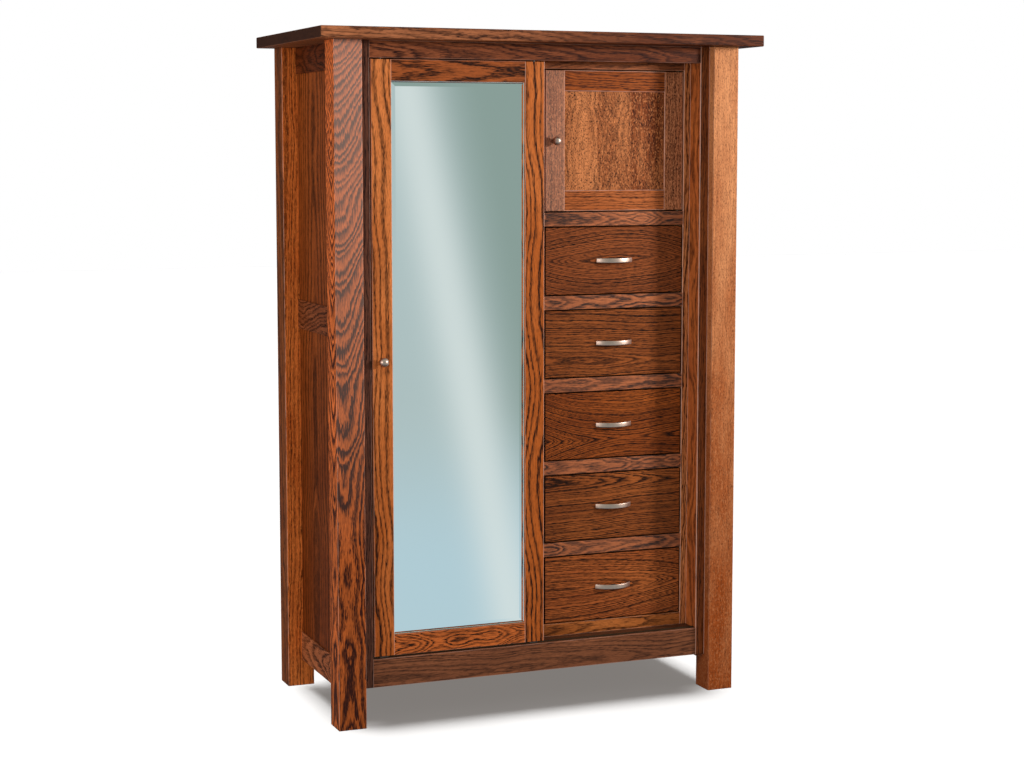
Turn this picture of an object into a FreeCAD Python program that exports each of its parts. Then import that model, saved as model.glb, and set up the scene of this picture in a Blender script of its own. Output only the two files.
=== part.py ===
"""Chifforobe: wardrobe behind a sliding mirror door, cupboard and five drawers beside it.

Frame: X to the right, Y to the back, Z up, millimetres. The origin is on the floor, under the
middle of the top slab. The front of the object faces -Y.
"""
import FreeCAD, Part
import math
import os

# ---------------------------------------------------------------- driving dimensions
total_height = 1828.8
frame_width = 1161.0  # over the posts
frame_depth = 562.0  # over the posts
post_size = 76.0

slab_thickness = 30.0
side_overhang = 49.0
front_overhang = 54.0
back_overhang = 7.0

rail_thickness = 22.0  # rails of the sides and the back
side_inset = 40.0  # post's outer face to the side rails' outer face
side_top_rail_height = 72.0
side_middle_rail_height = 80.0
upper_panel_show = 624.8  # between the top and middle side rails
side_bottom_rail_height = 80.0
side_bottom_rail_base = 74.5
panel_thickness = 8.0
panel_setback = 4.0  # side panels lie this far behind their rails
back_setback = 6.0  # back rails lie this far inside the rear posts' back faces
back_bottom_rail_base = 74.5
back_rail_height = 80.0
groove_depth = 8.0
panel_gap = 1.5  # room for a panel to swell in its grooves

header_height = 44.5
apron_height = 76.0
apron_base = 100.5
front_rail_thickness = 25.0
front_rail_setback = 25.4  # post's front face to the header, apron and pocket stiles
pocket_stile_width = 28.0

face_setback = 11.0  # front posts' back face to the face frame
face_thickness = 20.0
face_stile_show = 19.5  # outer face stiles, seen beside the pocket stiles
centre_stile_width = 40.0
base_rail_height = 34.5
head_rail_height = 63.3
divider_height = 38.4
drawer_count = 5
bay_width = 419.0  # clear width of the drawer openings
opening_chamfer = 1.5

small_door_height = 380.0
reveal = 3.2  # gap round the drawer fronts and the small door

door_thickness = 20.0
door_member_width = 56.0
door_edge_round = 1.5
mirror_door_width = 485.7
mirror_door_setback = 1.0  # behind the header's front face
mirror_door_side_gap = 3.0
mirror_door_top_gap = 3.0
mirror_door_bottom_gap = 6.0
mirror_lip = 8.0  # wood in front of the glass
mirror_rebate = 8.0  # how far the glass reaches behind the frame
mirror_edge_gap = 1.0
glass_thickness = 5.0
bevel_width = 13.0
bevel_depth = 2.0
backing_thickness = 5.0
small_panel_setback = 5.0

board_thickness = 18.0
runner_thickness = 12.0
runner_height = 20.0
hat_room = 220.8  # above the wardrobe shelf
cleat_height = 90.0
cleat_thickness = 18.0
rod_diameter = 28.0
rod_drop = 48.0  # shelf's underside to the rod's axis
rod_play = 0.5
socket_wall = 8.0
socket_length = 12.0
socket_base = 4.0

drawer_side_thickness = 12.0
drawer_side_play = 2.0
drawer_slide_play = 0.3
drawer_head_room = 8.0
drawer_bottom_thickness = 6.0
drawer_bottom_lift = 8.0
drawer_groove = 5.0
stop_play = 0.5
stop_height = 20.0
stop_depth = 7.5

tenon_length = 25.0
tenon_thickness = 10.0
tenon_shoulder = 8.0
face_tenon_length = 15.0
face_tenon_thickness = 7.0
face_tenon_shoulder = 6.0
mortise_relief = 1.0

track_width = 4.0
track_height = 4.0  # above the apron
track_depth = 4.0  # let into the apron
glide_length = 24.0
glide_width = 12.0
glide_embed = 8.0
glide_skirt = 2.0  # how far the glide stays above the apron
glide_side_play = 0.3
glide_top_play = 0.2
guide_pin_radius = 3.5
guide_pin_embed = 12.0
guide_pin_rise = 10.0
guide_side_play = 0.5
guide_end_play = 5.0

pull_length = 107.0
pull_height = 12.5
pull_projection = 24.0
pull_band = 3.5
pull_foot = 11.0
pull_edge_round = 1.0
screw_radius = 2.0
screw_play = 0.1
screw_head_radius = 4.5
screw_head_height = 2.5
pull_screw_reach = 2.5  # into the pull's foot
knob_screw_reach = 8.0
hole_end_play = 0.5

knob_radius = 12.5
knob_projection = 23.0
knob_flange_radius = 8.5
knob_flange = 2.0
knob_neck_radius = 5.5
knob_head_start = 9.0
knob_rim = 13.5

catch_length = 40.0
catch_width = 12.0
catch_height = 14.0
catch_lift = 30.0  # above the cupboard's floor
strike_thickness = 1.5
strike_margin = 3.0  # strike plate beyond the catch, above and below

pivot_inset = 10.0  # small door's right edge to the axis it turns on
pivot_depth = 7.0  # small door's front face to that axis
pivot_pin_radius = 3.0
pivot_pin_play = 0.05
pivot_reach = 12.0  # how far a pin goes into the rail, and into its bush
pivot_collar_radius = 5.5
pivot_collar_play = 0.2
bush_radius = 4.5
bush_length = 14.0

post_round = 3.0
slab_round = 3.0
pocket_round = 3.0
same_place = 0.001  # two places closer than this are one

# ---------------------------------------------------------------- planes worked out from them
X, Y, Z = range(3)
SIDES = {"left": -1, "right": 1}

slab_base = total_height - slab_thickness
slab_width = frame_width + 2 * side_overhang
slab_depth = frame_depth + front_overhang + back_overhang

post_front = front_overhang - slab_depth / 2
post_back = post_front + frame_depth
post_out = frame_width / 2
post_in = post_out - post_size
front_post_back = post_front + post_size
rear_post_front = post_back - post_size

side_rail_out = post_out - side_inset
side_rail_in = side_rail_out - rail_thickness
side_panel_out = side_rail_out - panel_setback
side_panel_in = side_panel_out - panel_thickness
side_middle_rail_top = slab_base - side_top_rail_height - upper_panel_show
side_middle_rail_base = side_middle_rail_top - side_middle_rail_height

back_rail_back = post_back - back_setback
back_rail_front = back_rail_back - rail_thickness

front_plane = post_front + front_rail_setback
front_rail_back = front_plane + front_rail_thickness
apron_top = apron_base + apron_height
header_base = slab_base - header_height
pocket_side = post_in - pocket_stile_width

face_plane = front_post_back + face_setback
face_back = face_plane + face_thickness
bay_right = pocket_side - face_stile_show
bay_left = bay_right - bay_width
wardrobe_right = bay_left - centre_stile_width
wardrobe_left = face_stile_show - pocket_side
base_rail_top = apron_top + base_rail_height
head_rail_base = slab_base - head_rail_height
cupboard_base = head_rail_base - small_door_height - 2 * reveal
drawer_pitch = (cupboard_base - base_rail_top) / drawer_count
drawer_opening = drawer_pitch - divider_height
drawer_front_height = drawer_opening - 2 * reveal
drawer_box_length = back_rail_front - face_back - stop_depth - stop_play

partition_left = bay_left - board_thickness
shelf_top = slab_base - hat_room
shelf_base = shelf_top - board_thickness
cleat_base = shelf_base - cleat_height
cleat_right_in = partition_left - cleat_thickness
rod_height = shelf_base - rod_drop
rod_y = (face_back + back_rail_front) / 2
rod_radius = rod_diameter / 2

door_front = front_plane + mirror_door_setback
door_back = door_front + door_thickness
door_middle = (door_front + door_back) / 2
mirror_door_left = mirror_door_side_gap - pocket_side
mirror_door_right = mirror_door_left + mirror_door_width
mirror_door_base = apron_top + mirror_door_bottom_gap
mirror_door_top = header_base - mirror_door_top_gap
mirror_door_travel = 2 * (pocket_side - mirror_door_side_gap) - mirror_door_width
mirror_knob_x = mirror_door_left + door_member_width / 2
mirror_knob_z = (mirror_door_base + mirror_door_top) / 2

small_door_left = bay_left + reveal
small_door_right = bay_right - reveal
small_door_base = cupboard_base + reveal
small_door_top = small_door_base + small_door_height
small_door_back = face_plane + door_thickness
small_knob_x = small_door_left + door_member_width / 2
small_knob_z = (small_door_base + small_door_top) / 2
pivot_x = small_door_right - pivot_inset
pivot_y = face_plane + pivot_depth

pull_x = (bay_left + bay_right) / 2
pull_screw_offset = (pull_length - pull_foot) / 2


# ---------------------------------------------------------------- helpers
def span(low, high):
    """A square-edged block between two corners."""
    size = [b - a for a, b in zip(low, high)]
    return Part.makeBox(*size, FreeCAD.Vector(*low))


def mirrored_span(side, inner, outer, low_yz, high_yz):
    """A block on the left or right side, between two distances from the middle."""
    low_x, high_x = sorted((side * inner, side * outer))
    return span((low_x, *low_yz), (high_x, *high_yz))


def rounded(solid, radius, chosen):
    """Rounds the straight edges that chosen(direction, middle) picks."""
    edges = []
    for edge in solid.Edges:
        a, b = edge.Vertexes[0].Point, edge.Vertexes[-1].Point
        if chosen((b - a).normalize(), (a + b) * 0.5):
            edges.append(edge)
    return solid.makeFillet(radius, edges)


def upright(direction, middle):
    return abs(direction.z) > 0.5


def tenon(low, high, along, end, length, thickness, shoulder):
    """The tongue that a rail has beyond one end; longer, it cuts the mortise."""
    across = Y if along == X else X
    middle = (low[across] + high[across]) / 2
    a, b = list(low), list(high)
    a[across], b[across] = middle - thickness / 2, middle + thickness / 2
    a[Z] += shoulder
    b[Z] -= shoulder
    if end < 0:
        a[along], b[along] = low[along] - length, low[along]
    else:
        a[along], b[along] = high[along], high[along] + length
    return span(a, b)


def tenoned_rail(low, high, along, length, thickness, shoulder):
    """A rail with a tenon at both ends, and the two mortises that they need."""
    tongues = [tenon(low, high, along, end, length, thickness, shoulder) for end in (-1, 1)]
    deep = length + mortise_relief
    mortises = [tenon(low, high, along, end, deep, thickness, shoulder) for end in (-1, 1)]
    return span(low, high).fuse(tongues).removeSplitter(), mortises


def eased_slab(low, high):
    """A block whose front face has a small round along all four edges."""
    def in_front(direction, middle):
        return abs(middle.y - low[Y]) < same_place

    return rounded(span(low, high), door_edge_round, in_front)


def framed_panel(low, high, thin):
    """A panel between two corners and the grooves it needs, a little larger round its edges."""
    a, b = list(low), list(high)
    for axis in (X, Y, Z):
        if axis != thin:
            a[axis] -= panel_gap
            b[axis] += panel_gap
    return span(low, high), span(a, b)


def chamfer_cutter(x_low, x_high, z_low, z_high, plane):
    """Eases the front edges round an opening: as wide as the opening, flaring to the front."""
    grow = opening_chamfer
    return Part.makeWedge(
        x_low - grow, plane, z_low - grow, z_low, x_low,
        x_high + grow, plane + grow, z_high + grow, z_high, x_high,
    )


def cylinder(radius, length, start, direction):
    return Part.makeCylinder(radius, length, FreeCAD.Vector(*start), FreeCAD.Vector(*direction))


def group(solids):
    """Separate solids that share one node."""
    return Part.makeCompound(solids)


# ---------------------------------------------------------------- posts, rails and panels
def side_rails(side):
    """Three rails between the posts of one side, and their mortises."""
    levels = [
        (slab_base - side_top_rail_height, slab_base),
        (side_middle_rail_base, side_middle_rail_top),
        (side_bottom_rail_base, side_bottom_rail_base + side_bottom_rail_height),
    ]
    x_low, x_high = sorted((side * side_rail_in, side * side_rail_out))
    rails, mortises = [], []
    for z_low, z_high in levels:
        low, high = (x_low, front_post_back, z_low), (x_high, rear_post_front, z_high)
        rail, holes = tenoned_rail(low, high, Y, tenon_length, tenon_thickness, tenon_shoulder)
        rails.append(rail)
        mortises += holes
    return rails, mortises


def side_panels(side):
    """The upper and lower panel of one side, and their grooves."""
    levels = [
        (side_middle_rail_top, slab_base - side_top_rail_height),
        (side_bottom_rail_base + side_bottom_rail_height, side_middle_rail_base),
    ]
    x_low, x_high = sorted((side * side_panel_in, side * side_panel_out))
    y_low, y_high = front_post_back - groove_depth, rear_post_front + groove_depth
    panels, grooves = [], []
    for z_low, z_high in levels:
        low = (x_low, y_low, z_low - groove_depth)
        high = (x_high, y_high, z_high + groove_depth)
        panel, groove = framed_panel(low, high, X)
        panels.append(panel)
        grooves.append(groove)
    return panels, grooves


def back_frame():
    """Two rails between the rear posts and the panel that they hold, flush inside."""
    levels = [
        (slab_base - back_rail_height, slab_base),
        (back_bottom_rail_base, back_bottom_rail_base + back_rail_height),
    ]
    rails, mortises = [], []
    for z_low, z_high in levels:
        low, high = (-post_in, back_rail_front, z_low), (post_in, back_rail_back, z_high)
        rail, holes = tenoned_rail(low, high, X, tenon_length, tenon_thickness, tenon_shoulder)
        rails.append(rail)
        mortises += holes
    low = (-post_in - groove_depth, back_rail_front, levels[1][1] - groove_depth)
    high = (post_in + groove_depth, back_rail_front + panel_thickness, levels[0][0] + groove_depth)
    panel, groove = framed_panel(low, high, Y)
    rails = [rail.cut(groove) for rail in rails]
    return rails, mortises, panel, groove


def front_rails():
    """Header and apron between the pocket stiles, with the guide groove and the track's groove."""
    low, high = (-pocket_side, front_plane, header_base), (pocket_side, front_rail_back, slab_base)
    header, mortises = tenoned_rail(low, high, X, tenon_length, tenon_thickness, tenon_shoulder)
    low, high = (-pocket_side, front_plane, apron_base), (pocket_side, front_rail_back, apron_top)
    apron, more = tenoned_rail(low, high, X, tenon_length, tenon_thickness, tenon_shoulder)
    half = guide_pin_radius + guide_side_play
    ceiling = mirror_door_top + guide_pin_rise + guide_end_play
    guide = span(
        (-pocket_side, door_middle - half, header_base),
        (pocket_side, door_middle + half, ceiling),
    )
    easing = chamfer_cutter(-pocket_side, pocket_side, apron_top, header_base, front_plane)
    header = header.cut([guide, easing])
    apron = apron.cut([bottom_track(), easing])
    return header, apron, mortises + more


def posts(cutters):
    """Four posts with rounded arrises, and their mortises and grooves."""
    made = {}
    for name, side in SIDES.items():
        for place, y in (("front", post_front), ("rear", rear_post_front)):
            low_yz, high_yz = (y, 0), (y + post_size, slab_base)
            blank = mirrored_span(side, post_in, post_out, low_yz, high_yz)
            blank = rounded(blank, post_round, upright)
            made[f"post_{place}_{name}"] = blank.cut(cutters)
    return made


def top_slab():
    low = (-slab_width / 2, -slab_depth / 2, slab_base)
    high = (slab_width / 2, slab_depth / 2, total_height)
    return rounded(span(low, high), slab_round, lambda direction, middle: True)


def pocket_stile(side, mortises):
    """Beside a front post, from the apron's foot to the slab; its arris is eased in the opening."""
    levels = (apron_base, apron_top, header_base, slab_base)
    blocks = []
    for low_z, high_z in zip(levels, levels[1:]):
        low_yz, high_yz = (front_plane, low_z), (face_plane, high_z)
        blocks.append(mirrored_span(side, pocket_side, post_in, low_yz, high_yz))

    def inner_front(direction, middle):
        in_front = abs(middle.y - front_plane) < same_place
        return upright(direction, middle) and in_front and abs(middle.x) < post_in - same_place

    blocks[1] = rounded(blocks[1], pocket_round, inner_front)
    return blocks[0].fuse(blocks[1:]).removeSplitter().cut(mortises)


def case_bottom():
    """Floor of the case and of the door pocket, notched round the posts and pocket stiles."""
    floor_base = side_bottom_rail_base + side_bottom_rail_height
    low = (-side_panel_in, front_rail_back, floor_base)
    high = (side_panel_in, back_rail_front, apron_top)
    corners = []
    for side in SIDES.values():
        for y in (post_front, rear_post_front):
            low_yz, high_yz = (y, 0), (y + post_size, slab_base)
            corners.append(mirrored_span(side, post_in, post_out, low_yz, high_yz))
        low_yz, high_yz = (front_plane, apron_base), (face_plane, slab_base)
        corners.append(mirrored_span(side, pocket_side, post_in, low_yz, high_yz))
    return span(low, high).cut(corners)


# ---------------------------------------------------------------- face frame
def face_openings():
    """Every opening of the face frame, as left, right, bottom and top."""
    openings = [(wardrobe_left, wardrobe_right, base_rail_top, head_rail_base)]
    for number in range(drawer_count):
        low = drawer_base(number + 1)
        openings.append((bay_left, bay_right, low, low + drawer_opening))
    openings.append((bay_left, bay_right, cupboard_base, head_rail_base))
    return openings


def drawer_base(number):
    """The rail's top under a drawer; drawer 1 is the highest."""
    return base_rail_top + (drawer_count - number) * drawer_pitch


def face_frame():
    """Stiles, head rails, base rails and dividers behind the front posts."""
    bays = [(wardrobe_left, wardrobe_right), (bay_left, bay_right)]
    groups = {"face_head_rails": [], "face_base_rails": [], "divider_rails": []}
    for low_x, high_x in bays:
        groups["face_head_rails"].append((low_x, high_x, head_rail_base, slab_base))
        groups["face_base_rails"].append((low_x, high_x, apron_top, base_rail_top))
    for number in range(1, drawer_count + 1):
        top = drawer_base(number) + drawer_pitch
        groups["divider_rails"].append((bay_left, bay_right, top - divider_height, top))

    easing = [chamfer_cutter(*opening, face_plane) for opening in face_openings()]
    pins = pivot_pins()
    nodes, mortises = {}, []
    sizes = (face_tenon_length, face_tenon_thickness, face_tenon_shoulder)
    for node, places in groups.items():
        rails = []
        for low_x, high_x, low_z, high_z in places:
            low, high = (low_x, face_plane, low_z), (high_x, face_back, high_z)
            rail, holes = tenoned_rail(low, high, X, *sizes)
            rails.append(rail.cut(easing + pins))
            mortises += holes
        nodes[node] = group(rails)

    stiles = {
        "face_stile_left": (-side_rail_in, wardrobe_left),
        "face_stile_centre": (wardrobe_right, bay_left),
        "face_stile_right": (bay_right, side_rail_in),
    }
    for node, (low_x, high_x) in stiles.items():
        blank = span((low_x, face_plane, apron_top), (high_x, face_back, slab_base))
        nodes[node] = blank.cut(easing + mortises)
    return nodes


# ---------------------------------------------------------------- inside the case
def upright_board(low_x):
    """A board from the floor to the slab, behind the face frame."""
    low = (low_x, face_back, apron_top)
    return span(low, (low_x + board_thickness, back_rail_front, slab_base))


def cupboard_floor():
    low = (bay_left, face_back, cupboard_base - board_thickness)
    return span(low, (bay_right, back_rail_front, cupboard_base))


def wardrobe_shelf():
    low = (-post_in - cleat_thickness, face_back, shelf_base)
    board = span(low, (partition_left, back_rail_front, shelf_top))
    low_yz, high_yz = (rear_post_front, 0), (post_back, slab_base)
    return board.cut(mirrored_span(SIDES["left"], post_in, post_out, low_yz, high_yz))


def shelf_cleats():
    """Two upright cleats carry the shelf and the rod's sockets."""
    low = (-post_in - cleat_thickness, face_back, cleat_base)
    left = span(low, (-post_in, rear_post_front, shelf_base))
    low = (cleat_right_in, face_back, cleat_base)
    right = span(low, (partition_left, back_rail_front, shelf_base))
    return group([left, right])


def clothes_rod():
    """The rod, and a cup on each cleat that holds its end."""
    start = socket_base - post_in
    length = cleat_right_in - socket_base - start
    rod = cylinder(rod_radius, length, (start, rod_y, rod_height), (1, 0, 0))
    cups = []
    for foot, way in ((-post_in, 1), (cleat_right_in, -1)):
        at = (foot, rod_y, rod_height)
        mouth = (foot + way * socket_base, rod_y, rod_height)
        cup = cylinder(rod_radius + socket_wall, socket_length, at, (way, 0, 0))
        cups.append(cup.cut(cylinder(rod_radius + rod_play, socket_length, mouth, (way, 0, 0))))
    return group([rod] + cups)


def runner_sides():
    """The two strips of width beside the drawers that the runners and stops stand in."""
    return (
        (bay_left, bay_left + runner_thickness),
        (bay_right - runner_thickness, bay_right),
    )


def drawer_runners():
    strips = []
    for number in range(1, drawer_count + 1):
        top = drawer_base(number)
        for low_x, high_x in runner_sides():
            low = (low_x, face_back, top - runner_height)
            strips.append(span(low, (high_x, back_rail_front, top)))
    return group(strips)


def drawer_stops():
    """Blocks on the runners' back ends, which the drawer sides meet when shut."""
    front = face_back + drawer_box_length + stop_play
    blocks = []
    for number in range(1, drawer_count + 1):
        base = drawer_base(number)
        for low_x, high_x in runner_sides():
            low = (low_x, front, base)
            blocks.append(span(low, (high_x, back_rail_front, base + stop_height)))
    return group(blocks)


# ---------------------------------------------------------------- hardware
def knob(x, plane, z):
    """A turned knob that points to the front, with a hole for its screw."""
    def at(radius, out):
        return FreeCAD.Vector(x + radius, plane - out, z)

    corners = [
        at(0, 0), at(knob_flange_radius, 0), at(knob_flange_radius, knob_flange),
        at(knob_neck_radius, knob_flange), at(knob_neck_radius, knob_head_start),
        at(knob_radius, knob_rim),
    ]
    edges = [Part.makeLine(a, b) for a, b in zip(corners, corners[1:])]
    rise = knob_projection - knob_rim
    sphere = (knob_radius**2 + rise**2) / (2 * rise)
    half_way = math.asin(knob_radius / sphere) / 2
    middle = at(sphere * math.sin(half_way), knob_projection - sphere * (1 - math.cos(half_way)))
    dome = Part.Arc(corners[-1], middle, at(0, knob_projection))
    edges += [dome.toShape(), Part.makeLine(at(0, knob_projection), corners[0])]
    profile = Part.Face(Part.Wire(edges))
    turned = profile.revolve(FreeCAD.Vector(x, plane, z), FreeCAD.Vector(0, 1, 0), 360)
    return turned.cut(screw_hole(x, plane, z, knob_screw_reach))


def screw_hole(x, plane, z, reach):
    """The blind hole that a screw from behind reaches in a knob or pull."""
    deep = reach + hole_end_play
    return cylinder(screw_radius + screw_play, deep, (x, plane, z), (0, -1, 0))


def through_hole(x, plane, z):
    """The hole for a screw through a drawer front or a door stile."""
    return cylinder(screw_radius + screw_play, door_thickness, (x, plane, z), (0, 1, 0))


def screw(x, plane, z, reach):
    """A machine screw, its head inside, its end in the knob or pull in front."""
    back = plane + door_thickness
    shank = cylinder(screw_radius, door_thickness + reach, (x, back, z), (0, -1, 0))
    head = cylinder(screw_head_radius, screw_head_height, (x, back, z), (0, 1, 0))
    return shank.fuse(head).removeSplitter()


def strap(z):
    """A bowed flat strap whose feet stand on the drawer front."""
    low = z - pull_height / 2

    def at(across, out):
        return FreeCAD.Vector(pull_x + across, face_plane - out, low)

    half, inner = pull_length / 2, pull_length / 2 - pull_foot
    outside = Part.Arc(at(-half, 0), at(0, pull_projection), at(half, 0)).toShape()
    inside = Part.Arc(at(inner, 0), at(0, pull_projection - pull_band), at(-inner, 0)).toShape()
    feet = [Part.makeLine(at(half, 0), at(inner, 0)), Part.makeLine(at(-inner, 0), at(-half, 0))]
    outline = Part.Wire([outside, feet[0], inside, feet[1]])
    band = Part.Face(outline).extrude(FreeCAD.Vector(0, 0, pull_height))

    def bowed(edge):
        return edge.Length > pull_length and isinstance(edge.Curve, Part.Circle)

    band = band.makeFillet(pull_edge_round, [edge for edge in band.Edges if bowed(edge)])
    holes = [
        screw_hole(pull_x + way * pull_screw_offset, face_plane, z, pull_screw_reach)
        for way in (-1, 1)
    ]
    return band.cut(holes)


def door_catch():
    """A magnet catch on the partition; the strike plate rests against its front."""
    low = (bay_left, small_door_back + strike_thickness, cupboard_base + catch_lift)
    high = (low[X] + catch_width, low[Y] + catch_length, low[Z] + catch_height)
    return span(low, high)


def strike_plate():
    """A steel plate on the back of the door, opposite the catch."""
    base = cupboard_base + catch_lift - strike_margin
    top = base + catch_height + 2 * strike_margin
    low = (small_door_left + strike_margin, small_door_back, base)
    return span(low, (bay_left + catch_width, small_door_back + strike_thickness, top))


def pivot_levels():
    """The small door's two pivots: the opening's edge, and the way from it into the door."""
    return ((cupboard_base, 1), (head_rail_base, -1))


def pivot_pins():
    """Pins driven into the rails above and below the small door, each with a collar in the gap."""
    pins = []
    for level, way in pivot_levels():
        start = (pivot_x, pivot_y, level - way * pivot_reach)
        pin = cylinder(pivot_pin_radius, 2 * pivot_reach + reveal, start, (0, 0, way))
        at = (pivot_x, pivot_y, level)
        collar = cylinder(pivot_collar_radius, reveal - pivot_collar_play, at, (0, 0, way))
        pins.append(pin.fuse(collar).removeSplitter())
    return pins


def pivot_bushes():
    """Bushes let into the ends of the door's right stile, and the pockets that they need."""
    bushes, pockets = [], []
    for level, way in pivot_levels():
        at = (pivot_x, pivot_y, level + way * reveal)
        pocket = cylinder(bush_radius, bush_length, at, (0, 0, way))
        deep = pivot_reach + hole_end_play
        bore = cylinder(pivot_pin_radius + pivot_pin_play, deep, at, (0, 0, way))
        bushes.append(pocket.cut(bore))
        pockets.append(pocket)
    return bushes, pockets


def bottom_track():
    """The brass bar that the mirror door's glides straddle."""
    low = (-pocket_side, door_middle - track_width / 2, apron_top - track_depth)
    high = (pocket_side, door_middle + track_width / 2, apron_top + track_height)
    return span(low, high)


# ---------------------------------------------------------------- doors
def door_frame(left, right, base, top, front, cutters):
    """Full-height stiles with the rails tenoned between them, eased round the outside."""
    back = front + door_thickness
    inner_left, inner_right = left + door_member_width, right - door_member_width
    inner_base, inner_top = base + door_member_width, top - door_member_width
    whole = eased_slab((left, front, base), (right, back, top))
    corners = span((left, front, base), (right, back, top)).cut(whole)
    easing = chamfer_cutter(inner_left, inner_right, inner_base, inner_top, front)
    cutters = cutters + [corners, easing]
    sizes = (tenon_length, face_tenon_thickness, mirror_rebate)
    rails, mortises = [], []
    for low_z, high_z in ((inner_top, top), (base, inner_base)):
        low, high = (inner_left, front, low_z), (inner_right, back, high_z)
        rail, holes = tenoned_rail(low, high, X, *sizes)
        rails.append(rail.cut(cutters))
        mortises += holes
    stiles = []
    for low_x, high_x in ((left, inner_left), (inner_right, right)):
        blank = span((low_x, front, base), (high_x, back, top))
        stiles.append(blank.cut(mortises + cutters))
    return stiles, rails


def mirror_door():
    """Frame, bevelled glass, backing, knob and the glides and pins it slides on."""
    inner = [
        mirror_door_left + door_member_width, mirror_door_right - door_member_width,
        mirror_door_base + door_member_width, mirror_door_top - door_member_width,
    ]
    reach = mirror_rebate
    rebate_low = (inner[0] - reach, door_front + mirror_lip, inner[2] - reach)
    rebate_high = (inner[1] + reach, door_back, inner[3] + reach)
    rebate = span(rebate_low, rebate_high)

    pane = reach - mirror_edge_gap
    x_low, x_high = inner[0] - pane, inner[1] + pane
    z_low, z_high = inner[2] - pane, inner[3] + pane
    glass_front = door_front + mirror_lip
    glass_back = glass_front + glass_thickness
    flat = glass_front + bevel_depth
    slab = span((x_low, flat, z_low), (x_high, glass_back, z_high))
    slope_x_low, slope_x_high = inner[0] + bevel_width, inner[1] - bevel_width
    slope_z_low, slope_z_high = inner[2] + bevel_width, inner[3] - bevel_width
    face = Part.makeWedge(
        slope_x_low, glass_front, slope_z_low, inner[2], inner[0],
        slope_x_high, flat, slope_z_high, inner[3], inner[1],
    )
    rim = span((x_low, glass_front, z_low), (x_high, flat, z_high))
    rim = rim.cut(span((inner[0], glass_front, inner[2]), (inner[1], flat, inner[3])))
    glass = slab.fuse([face, rim]).removeSplitter()
    backing_back = glass_back + backing_thickness
    backing = span((x_low, glass_back, z_low), (x_high, backing_back, z_high))

    glide_places = (mirror_knob_x, mirror_door_right - door_member_width / 2)
    glides, sockets = [], []
    for x in glide_places:
        low = (x - glide_length / 2, door_middle - glide_width / 2, apron_top + glide_skirt)
        high = (x + glide_length / 2, door_middle + glide_width / 2, mirror_door_base + glide_embed)
        block = span(low, high)
        sockets.append(block)
        half = track_width / 2 + glide_side_play
        roof = apron_top + track_height + glide_top_play
        slot = span((low[X], door_middle - half, low[Z]), (high[X], door_middle + half, roof))
        glides.append(block.cut(slot))
        at = (x, door_middle, mirror_door_top - guide_pin_embed)
        pin = cylinder(guide_pin_radius, guide_pin_embed + guide_pin_rise, at, (0, 0, 1))
        sockets.append(pin)
        glides.append(pin)

    hole = through_hole(mirror_knob_x, door_front, mirror_knob_z)
    edges = (mirror_door_left, mirror_door_right, mirror_door_base, mirror_door_top)
    stiles, rails = door_frame(*edges, door_front, [rebate, hole] + sockets)
    handle = knob(mirror_knob_x, door_front, mirror_knob_z)
    fixing = screw(mirror_knob_x, door_front, mirror_knob_z, knob_screw_reach)
    return {
        "mirror_door_stiles": group(stiles),
        "mirror_door_rails": group(rails),
        "mirror_glass": glass,
        "mirror_backing": backing,
        "mirror_door_knob": group([handle, fixing]),
        "mirror_door_glides": group(glides),
    }


def small_door():
    """The cupboard's door: frame, flat panel, knob, pivot bushes and strike plate."""
    edges = (small_door_left, small_door_right, small_door_base, small_door_top)
    inset = door_member_width - groove_depth
    panel_front = face_plane + small_panel_setback
    low = (small_door_left + inset, panel_front, small_door_base + inset)
    high = (small_door_right - inset, panel_front + panel_thickness, small_door_top - inset)
    panel, groove = framed_panel(low, high, Y)
    hole = through_hole(small_knob_x, face_plane, small_knob_z)
    bushes, pockets = pivot_bushes()
    stiles, rails = door_frame(*edges, face_plane, [groove, hole] + pockets)
    handle = knob(small_knob_x, face_plane, small_knob_z)
    fixing = screw(small_knob_x, face_plane, small_knob_z, knob_screw_reach)
    return {
        "small_door_stiles": group(stiles),
        "small_door_rails": group(rails),
        "small_door_panel": panel,
        "small_door_knob": group([handle, fixing]),
        "small_door_pivot_bushes": group(bushes),
        "small_door_strike": strike_plate(),
    }


# ---------------------------------------------------------------- drawers
def drawer(number):
    """Front, box of four boards, and pull of one drawer."""
    base = drawer_base(number)
    front_base = base + reveal
    front_top = front_base + drawer_front_height
    middle = (front_base + front_top) / 2
    low = (small_door_left, face_plane, front_base)
    front = eased_slab(low, (small_door_right, face_back, front_top))

    side_base, side_top = base + drawer_slide_play, base + drawer_opening - drawer_head_room
    out_left, out_right = bay_left + drawer_side_play, bay_right - drawer_side_play
    in_left, in_right = out_left + drawer_side_thickness, out_right - drawer_side_thickness
    box_back = face_back + drawer_box_length
    bottom_base = side_base + drawer_bottom_lift
    bottom_top = bottom_base + drawer_bottom_thickness
    low = (in_left - drawer_groove, face_back - drawer_groove, bottom_base)
    bottom = span(low, (in_right + drawer_groove, box_back, bottom_top))
    sides = [
        span((a, face_back, side_base), (b, box_back, side_top)).cut(bottom)
        for a, b in ((out_left, in_left), (in_right, out_right))
    ]
    low = (in_left, box_back - drawer_side_thickness, bottom_top)
    back = span(low, (in_right, box_back, side_top))

    places = [pull_x + way * pull_screw_offset for way in (-1, 1)]
    holes = [through_hole(x, face_plane, middle) for x in places]
    screws = [screw(x, face_plane, middle, pull_screw_reach) for x in places]
    return {
        f"drawer_{number}_front": front.cut([bottom] + holes),
        f"drawer_{number}_box": group(sides + [back, bottom]),
        f"drawer_{number}_pull": group([strap(middle)] + screws),
    }


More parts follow.
